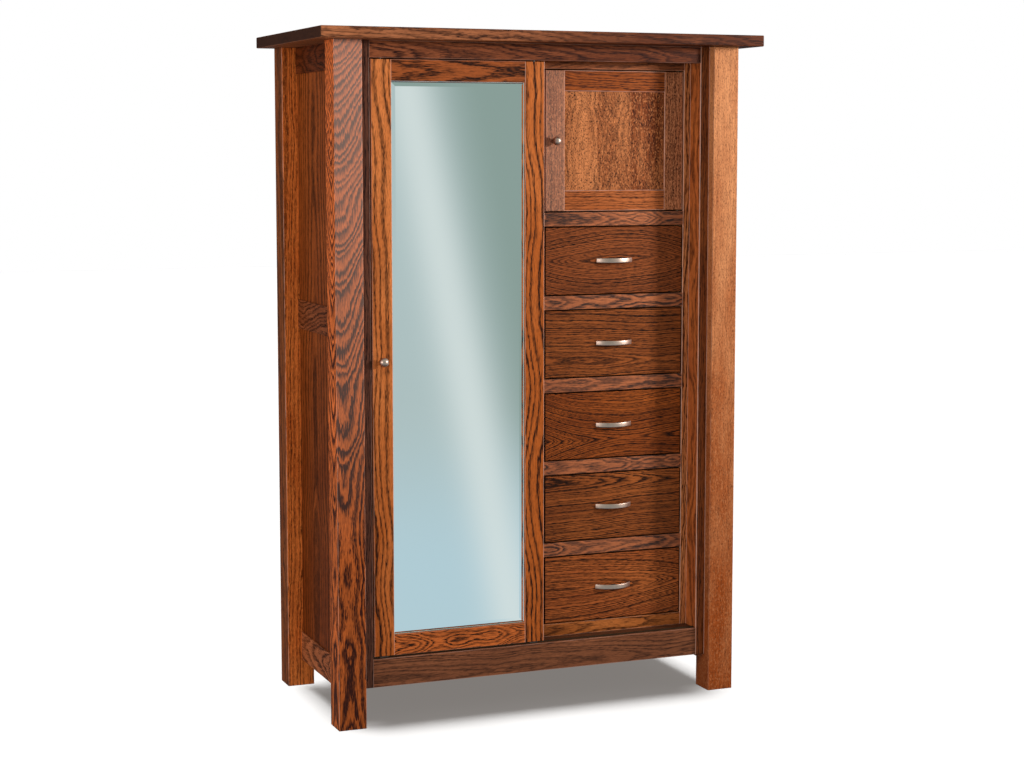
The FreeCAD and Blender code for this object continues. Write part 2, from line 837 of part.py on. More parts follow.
# ---------------------------------------------------------------- the whole object
def build():
    nodes = {"top_slab": top_slab()}
    post_cutters = []
    for name, side in SIDES.items():
        rails, mortises = side_rails(side)
        panels, grooves = side_panels(side)
        nodes[f"{name}_side_rails"] = group([rail.cut(grooves) for rail in rails])
        nodes[f"{name}_side_panels"] = group(panels)
        post_cutters += mortises + grooves

    rails, mortises, panel, groove = back_frame()
    nodes["back_rails"] = group(rails)
    nodes["back_panel"] = panel
    post_cutters += mortises + [groove]

    header, apron, mortises = front_rails()
    nodes["header_rail"] = header
    nodes["apron_rail"] = apron
    for name, side in SIDES.items():
        nodes[f"pocket_stile_{name}"] = pocket_stile(side, mortises)
    nodes.update(posts(post_cutters))
    nodes.update(face_frame())

    nodes["case_bottom"] = case_bottom()
    nodes["centre_partition"] = upright_board(partition_left)
    nodes["drawer_bay_side"] = upright_board(bay_right)
    nodes["cupboard_floor"] = cupboard_floor()
    nodes["wardrobe_shelf"] = wardrobe_shelf()
    nodes["shelf_cleats"] = shelf_cleats()
    nodes["clothes_rod"] = clothes_rod()
    nodes["small_door_catch"] = door_catch()
    nodes["drawer_runners"] = drawer_runners()
    nodes["drawer_stops"] = drawer_stops()
    nodes["bottom_track"] = bottom_track()
    nodes["case_pivot_pins"] = group(pivot_pins())
    nodes.update(mirror_door())
    nodes.update(small_door())
    for number in range(1, drawer_count + 1):
        nodes.update(drawer(number))
    return nodes


os.makedirs("parts", exist_ok=True)
nodes = build()
for node, shape in nodes.items():
    shape.exportStep(f"parts/{node}.step")
    print(node, len(shape.Solids), "solids", shape.isValid(), round(shape.Volume / 1000), "cm3")
print(len(nodes), "nodes, mirror door travel", round(mirror_door_travel, 2))
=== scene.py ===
# %% [markdown]
# # A chifforobe in stained oak
# The joinery comes from the imported model: every board, drawer box and rail is already there at
# its real size. What is left for Blender is the finish of each surface, and the small turned,
# bent and drilled hardware. First the model is loaded.

# %% Load the imported model
import math

import bmesh
import bpy
from mathutils import Euler, Matrix, Vector


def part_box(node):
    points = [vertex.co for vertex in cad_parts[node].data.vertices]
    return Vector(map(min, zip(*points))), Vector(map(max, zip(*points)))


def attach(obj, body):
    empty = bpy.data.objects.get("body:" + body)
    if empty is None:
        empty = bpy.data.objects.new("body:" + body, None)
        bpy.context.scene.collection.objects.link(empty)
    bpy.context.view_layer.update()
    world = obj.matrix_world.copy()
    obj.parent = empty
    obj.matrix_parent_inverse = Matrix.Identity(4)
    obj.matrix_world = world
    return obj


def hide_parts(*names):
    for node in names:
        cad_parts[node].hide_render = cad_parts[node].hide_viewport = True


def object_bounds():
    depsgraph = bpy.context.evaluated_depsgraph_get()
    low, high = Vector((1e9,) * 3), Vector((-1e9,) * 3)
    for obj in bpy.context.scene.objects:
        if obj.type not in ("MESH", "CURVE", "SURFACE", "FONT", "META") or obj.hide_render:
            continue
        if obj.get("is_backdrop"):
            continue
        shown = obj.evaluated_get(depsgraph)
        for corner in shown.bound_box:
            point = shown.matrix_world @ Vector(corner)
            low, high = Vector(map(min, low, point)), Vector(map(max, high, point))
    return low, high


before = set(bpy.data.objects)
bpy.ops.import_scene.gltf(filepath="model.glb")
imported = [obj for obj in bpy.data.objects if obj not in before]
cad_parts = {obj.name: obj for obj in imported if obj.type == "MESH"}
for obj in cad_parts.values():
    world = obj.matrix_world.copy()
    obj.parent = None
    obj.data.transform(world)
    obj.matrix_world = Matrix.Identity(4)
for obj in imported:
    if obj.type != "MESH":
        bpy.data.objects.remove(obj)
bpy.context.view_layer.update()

MM = 0.001

# %% [markdown]
# ## The camera
# The cabinet is seen from its left front, at about a standing eye's height. The lens is a short
# telephoto, so the uprights stay almost parallel, and a small shift sets the piece in the frame.

# %% Camera
IMAGE_WIDTH = 1024  # pixels
FOCAL_PIXELS = 2025.9
CAMERA_YAW, CAMERA_DOWN = 22.037, 5.898  # degrees to the right of +Y, and below level
CAMERA_PLACE = Vector((-2107.0, -5235.5, 1520.2))  # mm
CAMERA_SHIFT = -0.025  # of the frame's width
camera_data = bpy.data.cameras.new("camera")
camera_data.sensor_width = 36.0
camera_data.lens = camera_data.sensor_width * FOCAL_PIXELS / IMAGE_WIDTH
camera_data.shift_y = CAMERA_SHIFT
camera = bpy.data.objects.new("camera", camera_data)
bpy.context.scene.collection.objects.link(camera)
camera.location = CAMERA_PLACE * MM
camera.rotation_euler = Euler((math.radians(90 - CAMERA_DOWN), 0, math.radians(-CAMERA_YAW)))
bpy.context.scene.camera = camera
bpy.context.scene.view_settings.view_transform = "Standard"
print("lens", round(camera_data.lens, 1), "mm")

# %% [markdown]
# ## Two small tools
# Every colour is written as an sRGB hex value, the way a paint chart gives it, and one function
# turns it into the linear numbers that the renderer adds and multiplies. One other function adds
# a node: its inputs as a list, by name or by number, each a value, a node or a socket, and its
# settings by keyword. Numbers help where sockets share a name. On a Mix node 0 is the factor, 4
# and 5 are the two vectors, and 6 and 7 the two colours. Number 3 is the scale, of a Mapping or
# of a vector.

# %% Colours and nodes
def linear(code):
    channels = [int(code[i:i + 2], 16) / 255 for i in (0, 2, 4)]
    return [c / 12.92 if c <= 0.04045 else ((c + 0.055) / 1.055) ** 2.4 for c in channels] + [1.0]


def add(tree, kind, inputs=(), **settings):
    node = tree.nodes.new(kind)
    for name, value in settings.items():
        setattr(node, name, value)
    pairs = inputs.items() if isinstance(inputs, dict) else enumerate(inputs)
    for socket, value in pairs:
        if isinstance(value, bpy.types.Node):
            value = value.outputs[0]
        if isinstance(value, bpy.types.NodeSocket):
            tree.links.new(value, node.inputs[socket])
        else:
            node.inputs[socket].default_value = value
    return node


MATH, RANGE, MIX = "ShaderNodeMath", "ShaderNodeMapRange", "ShaderNodeMix"  # used most
SOFT = {"interpolation_type": "SMOOTHSTEP"}  # a range that starts and ends gently
print("stain", [round(c, 3) for c in linear("7A4326")])

# %% [markdown]
# ## The room
# A large pale floor that runs off into a white background. A camera ray sees both as white. A
# ray that bounces off metal or glass sees a tall studio instead: pale blue low down, grey-green
# higher up, crossed by slanting soft strips of light. It is what a mirror on a cabinet shows in a
# bright room, and it leaves the wood's own colour alone.

# %% World
STRIP_PERIOD = 44.0  # degrees from one strip of light to the next
STRIP_WIDTH = 0.75  # degrees from its middle to where a third of it is left
STRIP_TURN = -2.57  # degrees that the whole pattern is turned towards +X
STRIP_LEAN = 11.5  # degrees that a strip moves for each unit of height on the unit sphere
STRIP_SHARE = 0.75  # how much of a strip's own colour its middle shows
SHADE_STARTS, SHADE_ENDS = (-0.5, 2.2), (21.9, 21.0)  # degrees beside a strip
STRIP_COLOUR, WALL, SHADED_WALL, LOW_WALL = "E6EDED", "B9C9CB", "93A6A1", "BDD6E1"
LOW_WALL_ENDS, CEILING_STARTS, GROUND_ENDS = (-0.21, -0.12), (0.34, 0.6), (-0.75, -0.55)  # heights
BACK_STARTS = (-0.3, 0.1)  # of the way towards +Y
AMBIENT = 0.55  # strength of the plain white light that wood and paint get
CEILING, DIM = 1.6, 0.2  # how bright the ceiling is, and the back wall and the ground

world = bpy.data.worlds.new("studio")
bpy.context.scene.world = world
world.use_nodes = True
tree = world.node_tree
tree.nodes.clear()
print("a strip every", STRIP_PERIOD, "degrees")

# %% [markdown]
# The way that a ray goes has a bearing, counted from straight ahead of the mirror towards +X, and
# a height. The strips repeat with the bearing and lean with the height, and each fades out at
# both sides like a bell curve.

# %% Strips of light
way = add(tree, "ShaderNodeSeparateXYZ", [add(tree, "ShaderNodeTexCoord")]).outputs
ahead = add(tree, MATH, [way["Y"], -1.0], operation="MULTIPLY")
bearing = add(tree, MATH, [way["X"], ahead], operation="ARCTAN2")
degrees = add(tree, MATH, [bearing], operation="DEGREES")
lean = add(tree, MATH, [way["Z"], STRIP_LEAN, degrees], operation="MULTIPLY_ADD")
past = add(tree, MATH, [lean, STRIP_TURN], operation="SUBTRACT")
around = add(tree, MATH, [past, STRIP_PERIOD, 0.0], operation="WRAP")
across = add(tree, MATH, [around, STRIP_PERIOD / 2], operation="SUBTRACT")
far = add(tree, MATH, [across, STRIP_WIDTH], operation="DIVIDE")
square = add(tree, MATH, [far, far], operation="MULTIPLY")
fall = add(tree, MATH, [square, -1.0], operation="MULTIPLY")
strip = add(tree, MATH, [fall], operation="EXPONENT")
print("strip nodes", len(tree.nodes))

# %% [markdown]
# The wall is darker at one side of each strip. The ceiling is bright, and the ground and the back
# wall are dim, as in a room with its windows in front. The light path gives each kind of ray its
# own background.

# %% Walls, ceiling and ground
shade_in = add(tree, RANGE, [across, *SHADE_STARTS], **SOFT)
shade_out = add(tree, RANGE, [across, *SHADE_ENDS], **SOFT)
shade = add(tree, MATH, [shade_in, shade_out], operation="MULTIPLY")
high = add(tree, MIX, {0: shade, 6: linear(WALL), 7: linear(SHADED_WALL)}, data_type="RGBA")
rise = add(tree, RANGE, [way["Z"], *LOW_WALL_ENDS], **SOFT)
walls = add(tree, MIX, {0: rise, 6: linear(LOW_WALL), 7: high.outputs[2]}, data_type="RGBA")
share = add(tree, MATH, [strip, STRIP_SHARE], operation="MULTIPLY")
room = add(tree, MIX, {0: share, 6: walls.outputs[2], 7: linear(STRIP_COLOUR)}, data_type="RGBA")
above = add(tree, RANGE, [way["Z"], *CEILING_STARTS, 1.0, CEILING], **SOFT)
below = add(tree, RANGE, [way["Z"], *GROUND_ENDS, DIM, 1.0], **SOFT)
back = add(tree, RANGE, [way["Y"], *BACK_STARTS, 1.0, DIM], **SOFT)
front_light = add(tree, MATH, [above, below], operation="MULTIPLY")
level = add(tree, MATH, [front_light, back], operation="MULTIPLY")
rays = add(tree, "ShaderNodeLightPath").outputs
glossy = add(tree, MATH, [rays["Is Glossy Ray"], rays["Is Transmission Ray"]], operation="MAXIMUM")
reflected = add(tree, "ShaderNodeBackground", [room.outputs[2], level])
ambient = add(tree, "ShaderNodeBackground", [linear("FFFFFF"), AMBIENT])
seen = add(tree, "ShaderNodeBackground", [linear("FFFFFF"), 1.0])
bounced = add(tree, "ShaderNodeMixShader", [glossy, ambient, reflected])
whole = add(tree, "ShaderNodeMixShader", [rays["Is Camera Ray"], bounced, seen])
add(tree, "ShaderNodeOutputWorld", [whole])
print("world nodes", len(tree.nodes))

# %% [markdown]
# The floor is one big square of pale paint. Daylight from nearly straight above whitens it, and
# only the low parts of the case stand in that light's way, so the shadow keeps to the ground under
# the cabinet, an even warm grey: the paint's faint glow. Glossy rays go through the floor, to the
# studio behind, and the wood gets a darker bounce than the camera sees.

# %% Floor
FLOOR_HALF = 20.0  # metres
FLOOR_PAINT, FLOOR_BOUNCE = "595959", "433F3C"
SHADOW_GLOW, GLOW_STRENGTH = "FFF6EF", 0.21
floor_mesh = bpy.data.meshes.new("floor")
corners = [(-FLOOR_HALF, -FLOOR_HALF, 0), (FLOOR_HALF, -FLOOR_HALF, 0),
           (FLOOR_HALF, FLOOR_HALF, 0), (-FLOOR_HALF, FLOOR_HALF, 0)]
floor_mesh.from_pydata(corners, [], [(0, 1, 2, 3)])
floor = bpy.data.objects.new("floor", floor_mesh)
bpy.context.scene.collection.objects.link(floor)
floor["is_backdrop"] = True

pale = bpy.data.materials.new("pale_floor_paint")
pale.use_nodes = True
tree = pale.node_tree
tree.nodes.clear()
rays = add(tree, "ShaderNodeLightPath").outputs
paint = add(tree, "ShaderNodeBsdfDiffuse", [linear(FLOOR_PAINT)])
glow = add(tree, "ShaderNodeEmission", [linear(SHADOW_GLOW), GLOW_STRENGTH])
shown = add(tree, "ShaderNodeAddShader", [paint, glow])
bounce = add(tree, "ShaderNodeBsdfDiffuse", [linear(FLOOR_BOUNCE)])
clear = add(tree, "ShaderNodeBsdfTransparent")
lit = add(tree, "ShaderNodeMixShader", [rays["Is Camera Ray"], bounce, shown])
both = add(tree, "ShaderNodeMixShader", [rays["Is Glossy Ray"], lit, clear])
add(tree, "ShaderNodeOutputMaterial", [both])
floor_mesh.materials.append(pale)
print("floor", 2 * FLOOR_HALF, "m square")

# %% [markdown]
# ## The lamps
# A small lamp at the right front, just above the slab's height, is the key: it lets the right post
# throw a soft-edged shadow on the drawers, and fades towards the feet, because its beam is narrow
# and aims high. A broad one at the left fills the side and the walls of the door's pocket. Light
# linking keeps both off the floor and off the mirror, which would show them as hard white squares.
# The overhead sun is for the floor alone, and only the low rails and the case bottom shade it.

# %% Lamps
LAMPS = {  # place, aim, size in metres, beam in degrees, watts
    "key_lamp": (Vector((4.1, -2.5, 2.1)), Vector((0.2, -0.25, 1.95)), 0.5, 80.0, 57.0),
    "fill_lamp": (Vector((-4.8, -2.1, 1.5)), Vector((0.0, 0.0, 1.3)), 2.0, 120.0, 46.0),
}
all_but_floor = bpy.data.collections.new("lit_by_lamps")
for unlit in (floor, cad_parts["mirror_glass"]):
    all_but_floor.objects.link(unlit)
for member in all_but_floor.collection_objects:
    member.light_linking.link_state = "EXCLUDE"
for name, (lamp_place, aim, lamp_size, beam, power) in LAMPS.items():
    lamp_data = bpy.data.lights.new(name, "AREA")
    lamp_data.shape = "SQUARE"
    lamp_data.size = lamp_size
    lamp_data.spread = math.radians(beam)
    lamp_data.energy = power
    lamp = bpy.data.objects.new(name, lamp_data)
    bpy.context.scene.collection.objects.link(lamp)
    lamp.location = lamp_place
    lamp.rotation_euler = (aim - lamp_place).to_track_quat("-Z", "Y").to_euler()
    lamp.light_linking.receiver_collection = all_but_floor

OVERHEAD_STRENGTH = 28.0  # watts per square metre
OVERHEAD_SPREAD = 38.0  # degrees across
OVERHEAD_LEAN = 20.0  # degrees, from behind
LOW_PARTS = ("case_bottom", "apron_rail", "left_side_rails", "right_side_rails")
overhead_data = bpy.data.lights.new("overhead_lamp", "SUN")
overhead_data.energy = OVERHEAD_STRENGTH
overhead_data.angle = math.radians(OVERHEAD_SPREAD)
overhead = bpy.data.objects.new("overhead_lamp", overhead_data)
bpy.context.scene.collection.objects.link(overhead)
overhead.location = (0, 0, 4)
overhead.rotation_euler = (math.radians(-OVERHEAD_LEAN), 0, 0)
floor_only = bpy.data.collections.new("lit_by_overhead")
floor_only.objects.link(floor)
overhead.light_linking.receiver_collection = floor_only
shading = bpy.data.collections.new("shades_the_floor")
for node in LOW_PARTS:
    shading.objects.link(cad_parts[node])
overhead.light_linking.blocker_collection = shading
print("lamps", len(LAMPS), "and overhead", OVERHEAD_STRENGTH, "W/m2")

# %% [markdown]
# ## Oak, as a solid
# A board is a slice through a tree, so its figure isn't painted on: it is where the slice cuts
# the growth rings. The group below is that tree. Its input is a place in the board, in
# millimetres: across the board, into it and along it. Rings lie round a pith behind the face, and
# the tree climbs through the board at an angle. A face near the pith cuts the rings in nested
# arches, one for every ring that the climb passes. Far from the pith they are straight lines.
#
# Oak is ring-porous: each year starts with a band of open pores. They drink the stain, so a
# dark band starts sharply and fades out into smooth, lighter wood. The pores themselves show as
# short dark dashes. Real ones are about 0.3 mm wide. Here they are a millimetre or so, three times
# that or a little more, so that they show at all.

# %% The oak tree's inputs
FAR = 100000.0  # mm, past the edge of any board
OAK_INPUTS = {
    "Seed": 0.0,
    "Ring": 6.0,  # mm between two dark bands
    "Ring Step": 0.0,  # mm more in each next board of a set
    "Pith Across": 0.0,  # mm from the board's middle
    "Pith Depth": 45.0,
    "Lean": 0.0,  # mm that the pith moves across in a metre
    "Climb": 60.0,  # mm of radius for each metre along the board
    "Bend": 0.0,  # how much more climb there is a metre further along
    "Swell": 10.0,  # mm that the radius gains and loses along the board
    "Swell Length": 320.0,
    "Sway": 8.0,  # mm that the pith strays sideways
    "Sway Length": 420.0,
    "Ripple": 2.0,  # mm that one line wavers
    "Ripple Across": 16.0,
    "Ripple Length": 60.0,
    "Fray": 0.35,  # years by which the pores blur a line's edge
    "Contrast": 0.85,
    "Band": 0.6,  # share of a year that is porous
    "Fleck": 0.0,
    "Blotch": 0.3,
    "Murk": 0.3,
    "Pitch": FAR,  # mm between boards of one set
    "Half Width": FAR,  # where this is FAR, no arris lines are drawn
    "Half Depth": FAR,
    "Half Length": FAR,
    # the pale line down the long edges: partly wear, partly a painted highlight
    "Arris Wear": 0.25,
    "Arris Width": 1.8,  # mm
    "Tip": 0.0,  # how much lighter the colour is a metre further along: partly the wood's own tone, partly painted light and shade
    "Pore Length": 11.0,  # mm
    "Pore Share": 0.3,  # how dark a pore is between the bands
    "Haze": 0.0,  # share of painted sheen on the front: a pale veil that stands for the lamps' reflection in the lacquer
    "Haze Rise": 0.0,  # how much more of it there is a metre further along
    "Fade Step": 0.0,  # how much duller each next board of a set is
    "Facing": 1.0,  # -1 where the front lies on the far side of the board's depth
    "Side Tone": 1.0,  # how light the sides and the back are painted, against the front: painted light and shade
}
oak = bpy.data.node_groups.new("oak_tree", "ShaderNodeTree")
oak.interface.new_socket(name="Place", in_out="INPUT", socket_type="NodeSocketVector")
for name, value in OAK_INPUTS.items():
    socket = oak.interface.new_socket(name=name, in_out="INPUT", socket_type="NodeSocketFloat")
    socket.default_value = value
for name in ("Light", "Mid", "Dark"):
    oak.interface.new_socket(name=name, in_out="INPUT", socket_type="NodeSocketColor")
oak.interface.new_socket(name="Color", in_out="OUTPUT", socket_type="NodeSocketColor")
oak.interface.new_socket(name="Roughness", in_out="OUTPUT", socket_type="NodeSocketFloat")
oak.interface.new_socket(name="Height", in_out="OUTPUT", socket_type="NodeSocketFloat")
given = add(oak, "NodeGroupInput").outputs
print("oak inputs", len(given))

# %% [markdown]
# Boards of one set, such as the five rails between the drawers, share a node. Their number in the
# set, counted by their pitch, shifts the seed, so that each is cut from another tree.
#
# Everything irregular comes from layers of noise, each with its own size in millimetres across
# and along the board. Wood is far longer than it is wide in all its features, so every layer is
# stretched along the grain. Real fibres are too fine to show, so theirs are drawn 2 mm wide.

# %% Place in the board, and the noise
place = add(oak, "ShaderNodeSeparateXYZ", [given["Place"]]).outputs
count = add(oak, MATH, [place["X"], given["Pitch"]], operation="DIVIDE")
number = add(oak, MATH, [count], operation="ROUND")
steps = add(oak, MATH, [number, given["Pitch"]], operation="MULTIPLY")
u = add(oak, MATH, [place["X"], steps], operation="SUBTRACT")
v = place["Y"]
w = place["Z"]
BOARD_STEP, LAYER_STEP = 7.31, 5.3  # seed from one board of a set, or one layer, to the next
NOISE_GAIN, NOISE_SHIFT = 4.0, -2.0  # bring a noise that keeps near 0.5 to about -1 to 1
seed = add(oak, MATH, [number, BOARD_STEP, given["Seed"]], operation="MULTIPLY_ADD")

WHOLE_BOARD = 420.0  # mm; wider than most boards, so that a layer moves the whole width together
LAYERS = {  # across, along, detail
    "sway": (WHOLE_BOARD, given["Sway Length"], 1.0),
    "swell": (WHOLE_BOARD, given["Swell Length"], 1.0),
    "ripple": (given["Ripple Across"], given["Ripple Length"], 1.0),
    "fibre": (2.0, 34.0, 2.0),
    "pore": (1.9, given["Pore Length"], 0.0),
    "speckle": (3.0, 6.5, 1.0),
    "cloud": (44.0, 190.0, 3.0),
    "murk": (34.0, 150.0, 2.0),
    "rub_and_glint": (9.0, 40.0, 1.0),
}
noise = {}
for order, (name, (wide, long, detail)) in enumerate(LAYERS.items()):
    turns = [add(oak, MATH, [value, size], operation="DIVIDE")
             for value, size in ((u, wide), (v, wide), (w, long))]
    spot = add(oak, "ShaderNodeCombineXYZ", turns)
    layer = add(oak, MATH, [seed, LAYER_STEP * order], operation="ADD")
    settings = {"Vector": spot, "W": layer, "Scale": 1.0, "Detail": detail, "Roughness": 0.5}
    texture = add(oak, "ShaderNodeTexNoise", settings, noise_dimensions="4D")
    noise[name] = add(oak, MATH, [texture, NOISE_GAIN, NOISE_SHIFT], operation="MULTIPLY_ADD")
print("noise layers", len(noise), "about -1 to 1")

# %% [markdown]
# The distance from the pith, plus what the climb adds, counted in years. The fraction that is
# left over says how far through the year a point is. No two years are alike, so the rings get
# uneven widths, and some bands take more stain than others.

# %% Growth rings
SEASON_RATE, SEASON_SWING = 0.45, 1.6  # how often the rings' width changes, and by how many years
YEAR_STEP = 3.0  # seed from one board to the next, for the luck of each year
PALE_BAND, DARK_BAND = 0.6, 1.05
ONSET, FULL_UNTIL = 0.86, 0.05  # share of a year: the next band sets in, and this one is full
BREAKS = (-0.6, 0.6, 0.8, 1.15)  # range of the pore noise, and a band's strength at its ends
metres = add(oak, MATH, [w, MM], operation="MULTIPLY")
leaning = add(oak, MATH, [metres, given["Lean"], given["Pith Across"]], operation="MULTIPLY_ADD")
pith = add(oak, MATH, [noise["sway"], given["Sway"], leaning], operation="MULTIPLY_ADD")
off_across = add(oak, MATH, [u, pith], operation="SUBTRACT")
off_depth = add(oak, MATH, [v, given["Pith Depth"]], operation="SUBTRACT")
flat = add(oak, "ShaderNodeCombineXYZ", [off_across, off_depth, 0.0])
distance = add(oak, "ShaderNodeVectorMath", [flat], operation="LENGTH").outputs["Value"]
slope = add(oak, MATH, [metres, given["Bend"], given["Climb"]], operation="MULTIPLY_ADD")
climbed = add(oak, MATH, [slope, metres, distance], operation="MULTIPLY_ADD")
swelled = add(oak, MATH, [noise["swell"], given["Swell"], climbed], operation="MULTIPLY_ADD")
rippled = add(oak, MATH, [noise["ripple"], given["Ripple"], swelled], operation="MULTIPLY_ADD")
ring = add(oak, MATH, [number, given["Ring Step"], given["Ring"]], operation="MULTIPLY_ADD")
years = add(oak, MATH, [rippled, ring], operation="DIVIDE")
season_place = add(oak, MATH, [years, SEASON_RATE, seed], operation="MULTIPLY_ADD")
season = add(oak, "ShaderNodeTexNoise", {"W": season_place, "Scale": 1.0, "Detail": 0.0},
             noise_dimensions="1D")
uneven = add(oak, MATH, [season, SEASON_SWING, years], operation="MULTIPLY_ADD")
frayed = add(oak, MATH, [noise["fibre"], given["Fray"], uneven], operation="MULTIPLY_ADD")
fraction = add(oak, MATH, [frayed], operation="FRACT")
year = add(oak, MATH, [frayed], operation="FLOOR")
year_seed = add(oak, MATH, [seed, YEAR_STEP, year], operation="MULTIPLY_ADD")
luck = add(oak, "ShaderNodeTexWhiteNoise", {"W": year_seed}, noise_dimensions="1D")
strength = add(oak, RANGE, [luck.outputs["Value"], 0.0, 1.0, PALE_BAND, DARK_BAND])
fade = add(oak, RANGE, [fraction, FULL_UNTIL, given["Band"], 1.0, 0.0], **SOFT)
onset = add(oak, RANGE, [fraction, ONSET, 1.0], **SOFT)
band = add(oak, MATH, [fade, onset], operation="MAXIMUM")
broken = add(oak, RANGE, [noise["pore"], *BREAKS])
dashed = add(oak, MATH, [band, broken], operation="MULTIPLY")
stained = add(oak, MATH, [dashed, strength], operation="MULTIPLY")
print("ring nodes", len(oak.nodes))

# %% [markdown]
# Next come pores, ray flecks, murky patches and the slow change of tone along a board, which is
# partly painted light and shade. Ray flecks are the silvery spots of quarter-sawn oak. In a set,
# each next board can be a little duller.

# %% Pores, flecks and tones
PORE, SPECK, PATCH = (0.1, 0.8), (0.0, 0.8), (0.3, 1.2)  # of their noise, from none to full
PORES_IN_BAND = 0.2  # how much darker a pore is in a full band
EVEN_TONE = 0.4  # share of the light tone in a board without clouds
TIP_CONTRAST = -0.2  # contrast gained where the tip lightens the wood by one; below zero, so a lighter end is flatter too, a painted sheen
SHEEN = 0.26  # how much lighter or darker single fibres are
pore = add(oak, RANGE, [noise["pore"], *PORE], **SOFT)
pore_share = add(oak, MATH, [stained, PORES_IN_BAND, given["Pore Share"]], operation="MULTIPLY_ADD")
pores = add(oak, MATH, [pore, pore_share], operation="MULTIPLY")
speckle = add(oak, RANGE, [noise["speckle"], *SPECK], **SOFT)
flecks = add(oak, MATH, [speckle, given["Fleck"]], operation="MULTIPLY")
warmth = add(oak, MATH, [noise["cloud"], given["Blotch"], EVEN_TONE], operation="MULTIPLY_ADD")
tipped = add(oak, MATH, [metres, given["Tip"], warmth], operation="MULTIPLY_ADD")
duller = add(oak, MATH, [number, given["Fade Step"]], operation="MULTIPLY")
lighter = add(oak, MATH, [tipped, duller], operation="SUBTRACT")
patch = add(oak, RANGE, [noise["murk"], *PATCH], **SOFT)
murk = add(oak, MATH, [patch, given["Murk"]], operation="MULTIPLY")
tip_share = add(oak, MATH, [metres, given["Tip"]], operation="MULTIPLY")
bolder = add(oak, MATH, [tip_share, TIP_CONTRAST, 1.0], operation="MULTIPLY_ADD")
contrast = add(oak, MATH, [bolder, given["Contrast"]], operation="MULTIPLY")
banded = add(oak, MATH, [stained, contrast], operation="MULTIPLY")

tone = add(oak, MIX, {0: lighter, 6: given["Mid"], 7: given["Light"]}, data_type="RGBA",
           clamp_factor=True).outputs[2]
ringed = add(oak, MIX, {0: banded, 6: tone, 7: given["Dark"]}, data_type="RGBA").outputs[2]
murky = add(oak, MIX, {0: murk, 6: ringed, 7: given["Dark"]}, data_type="RGBA").outputs[2]
pored = add(oak, MIX, {0: pores, 6: murky, 7: given["Dark"]}, data_type="RGBA").outputs[2]
silver = add(oak, MIX, {0: flecks, 6: pored, 7: given["Light"]}, data_type="RGBA").outputs[2]
sheen = add(oak, MATH, [noise["fibre"], SHEEN, 1.0], operation="MULTIPLY_ADD")
print("tone nodes", len(oak.nodes))

# %% [markdown]
# A board isn't coloured alike all round. Its sides and back are painted lighter than the front on
# some boards and darker on others: painted light and shade. Its front can get a pale veil that grows
# along the board: a painted sheen, the lamps' reflection in the lacquer. End grain drinks stain and
# turns dark. The long edges, the arrises, get a thin, ragged, pale line: partly wear, partly a painted
# highlight.

# %% Faces, ends and arrises
SKIN = (0.4, 1.2)  # mm behind a face: still on it, and off it
END_DARKNESS = 0.9
# The colour of the painted sheen, and of the pale edge line, which is partly wear and partly a painted
# highlight.
PAINTED_SHEEN_COLOUR, RUBBED_AND_GLINT_COLOUR = "B49C90", "D2A38F"
PAINTED_SHEEN_LOSS = -2.0  # of the painted sheen, for each unit that a board of a set is duller
RAGGED_BY, PALE_LINE_CORE = -0.5, 0.4  # mm that the pale edge line, partly wear and partly a painted highlight, wavers, and the share of it that is full
WOOD_ROUGHNESS, PORE_ROUGHNESS = 0.42, 0.25
PORE_DIP = -0.8
# Sides and back get painted light and shade: their colour is scaled away from the front's colour.
from_front = add(oak, MATH, [v, given["Facing"], given["Half Depth"]], operation="MULTIPLY_ADD")
side_light_factor = add(oak, RANGE, [from_front, *SKIN, 1.0, given["Side Tone"]])
side_lit_scale = add(oak, MATH, [sheen, side_light_factor], operation="MULTIPLY")
shimmer = add(oak, "ShaderNodeVectorMath", {0: silver, 3: side_lit_scale}, operation="SCALE")

# The pale line down the long edges: partly wear, and partly a painted highlight where an edge catches the
# light.
off_middle = add(oak, MATH, [u], operation="ABSOLUTE")
from_side = add(oak, MATH, [given["Half Width"], off_middle], operation="SUBTRACT")
off_core = add(oak, MATH, [v], operation="ABSOLUTE")
from_face = add(oak, MATH, [given["Half Depth"], off_core], operation="SUBTRACT")
from_arris = add(oak, MATH, [from_side, from_face], operation="MAXIMUM")
ragged = add(oak, MATH, [noise["rub_and_glint"], RAGGED_BY, from_arris], operation="MULTIPLY_ADD")
core = add(oak, MATH, [given["Arris Width"], PALE_LINE_CORE], operation="MULTIPLY")
rub_and_glint = add(oak, RANGE, [ragged, core, given["Arris Width"], 1.0, 0.0], **SOFT)
on_front = add(oak, RANGE, [from_front, *SKIN, 1.0, 0.0])
# Painted sheen: a pale veil on the front that grows along the board and stands for the lamps' reflection.
rising = add(oak, MATH, [metres, given["Haze Rise"], given["Haze"]], operation="MULTIPLY_ADD")
apart = add(oak, MATH, [duller], operation="ABSOLUTE")
painted_sheen_share = add(oak, MATH, [apart, PAINTED_SHEEN_LOSS, rising], operation="MULTIPLY_ADD")
haze = add(oak, MATH, [painted_sheen_share, on_front], operation="MULTIPLY", use_clamp=True)
with_painted_sheen = add(oak, MIX, {0: haze, 6: shimmer, 7: linear(PAINTED_SHEEN_COLOUR)}, data_type="RGBA").outputs[2]
off_centre = add(oak, MATH, [w], operation="ABSOLUTE")
from_end = add(oak, MATH, [given["Half Length"], off_centre], operation="SUBTRACT")
on_end = add(oak, RANGE, [from_end, *SKIN, END_DARKNESS, 0.0])
ended = add(oak, MIX, {0: on_end, 6: with_painted_sheen, 7: given["Dark"]}, data_type="RGBA").outputs[2]
wear_and_glint_share = add(oak, MATH, [rub_and_glint, given["Arris Wear"]], operation="MULTIPLY")
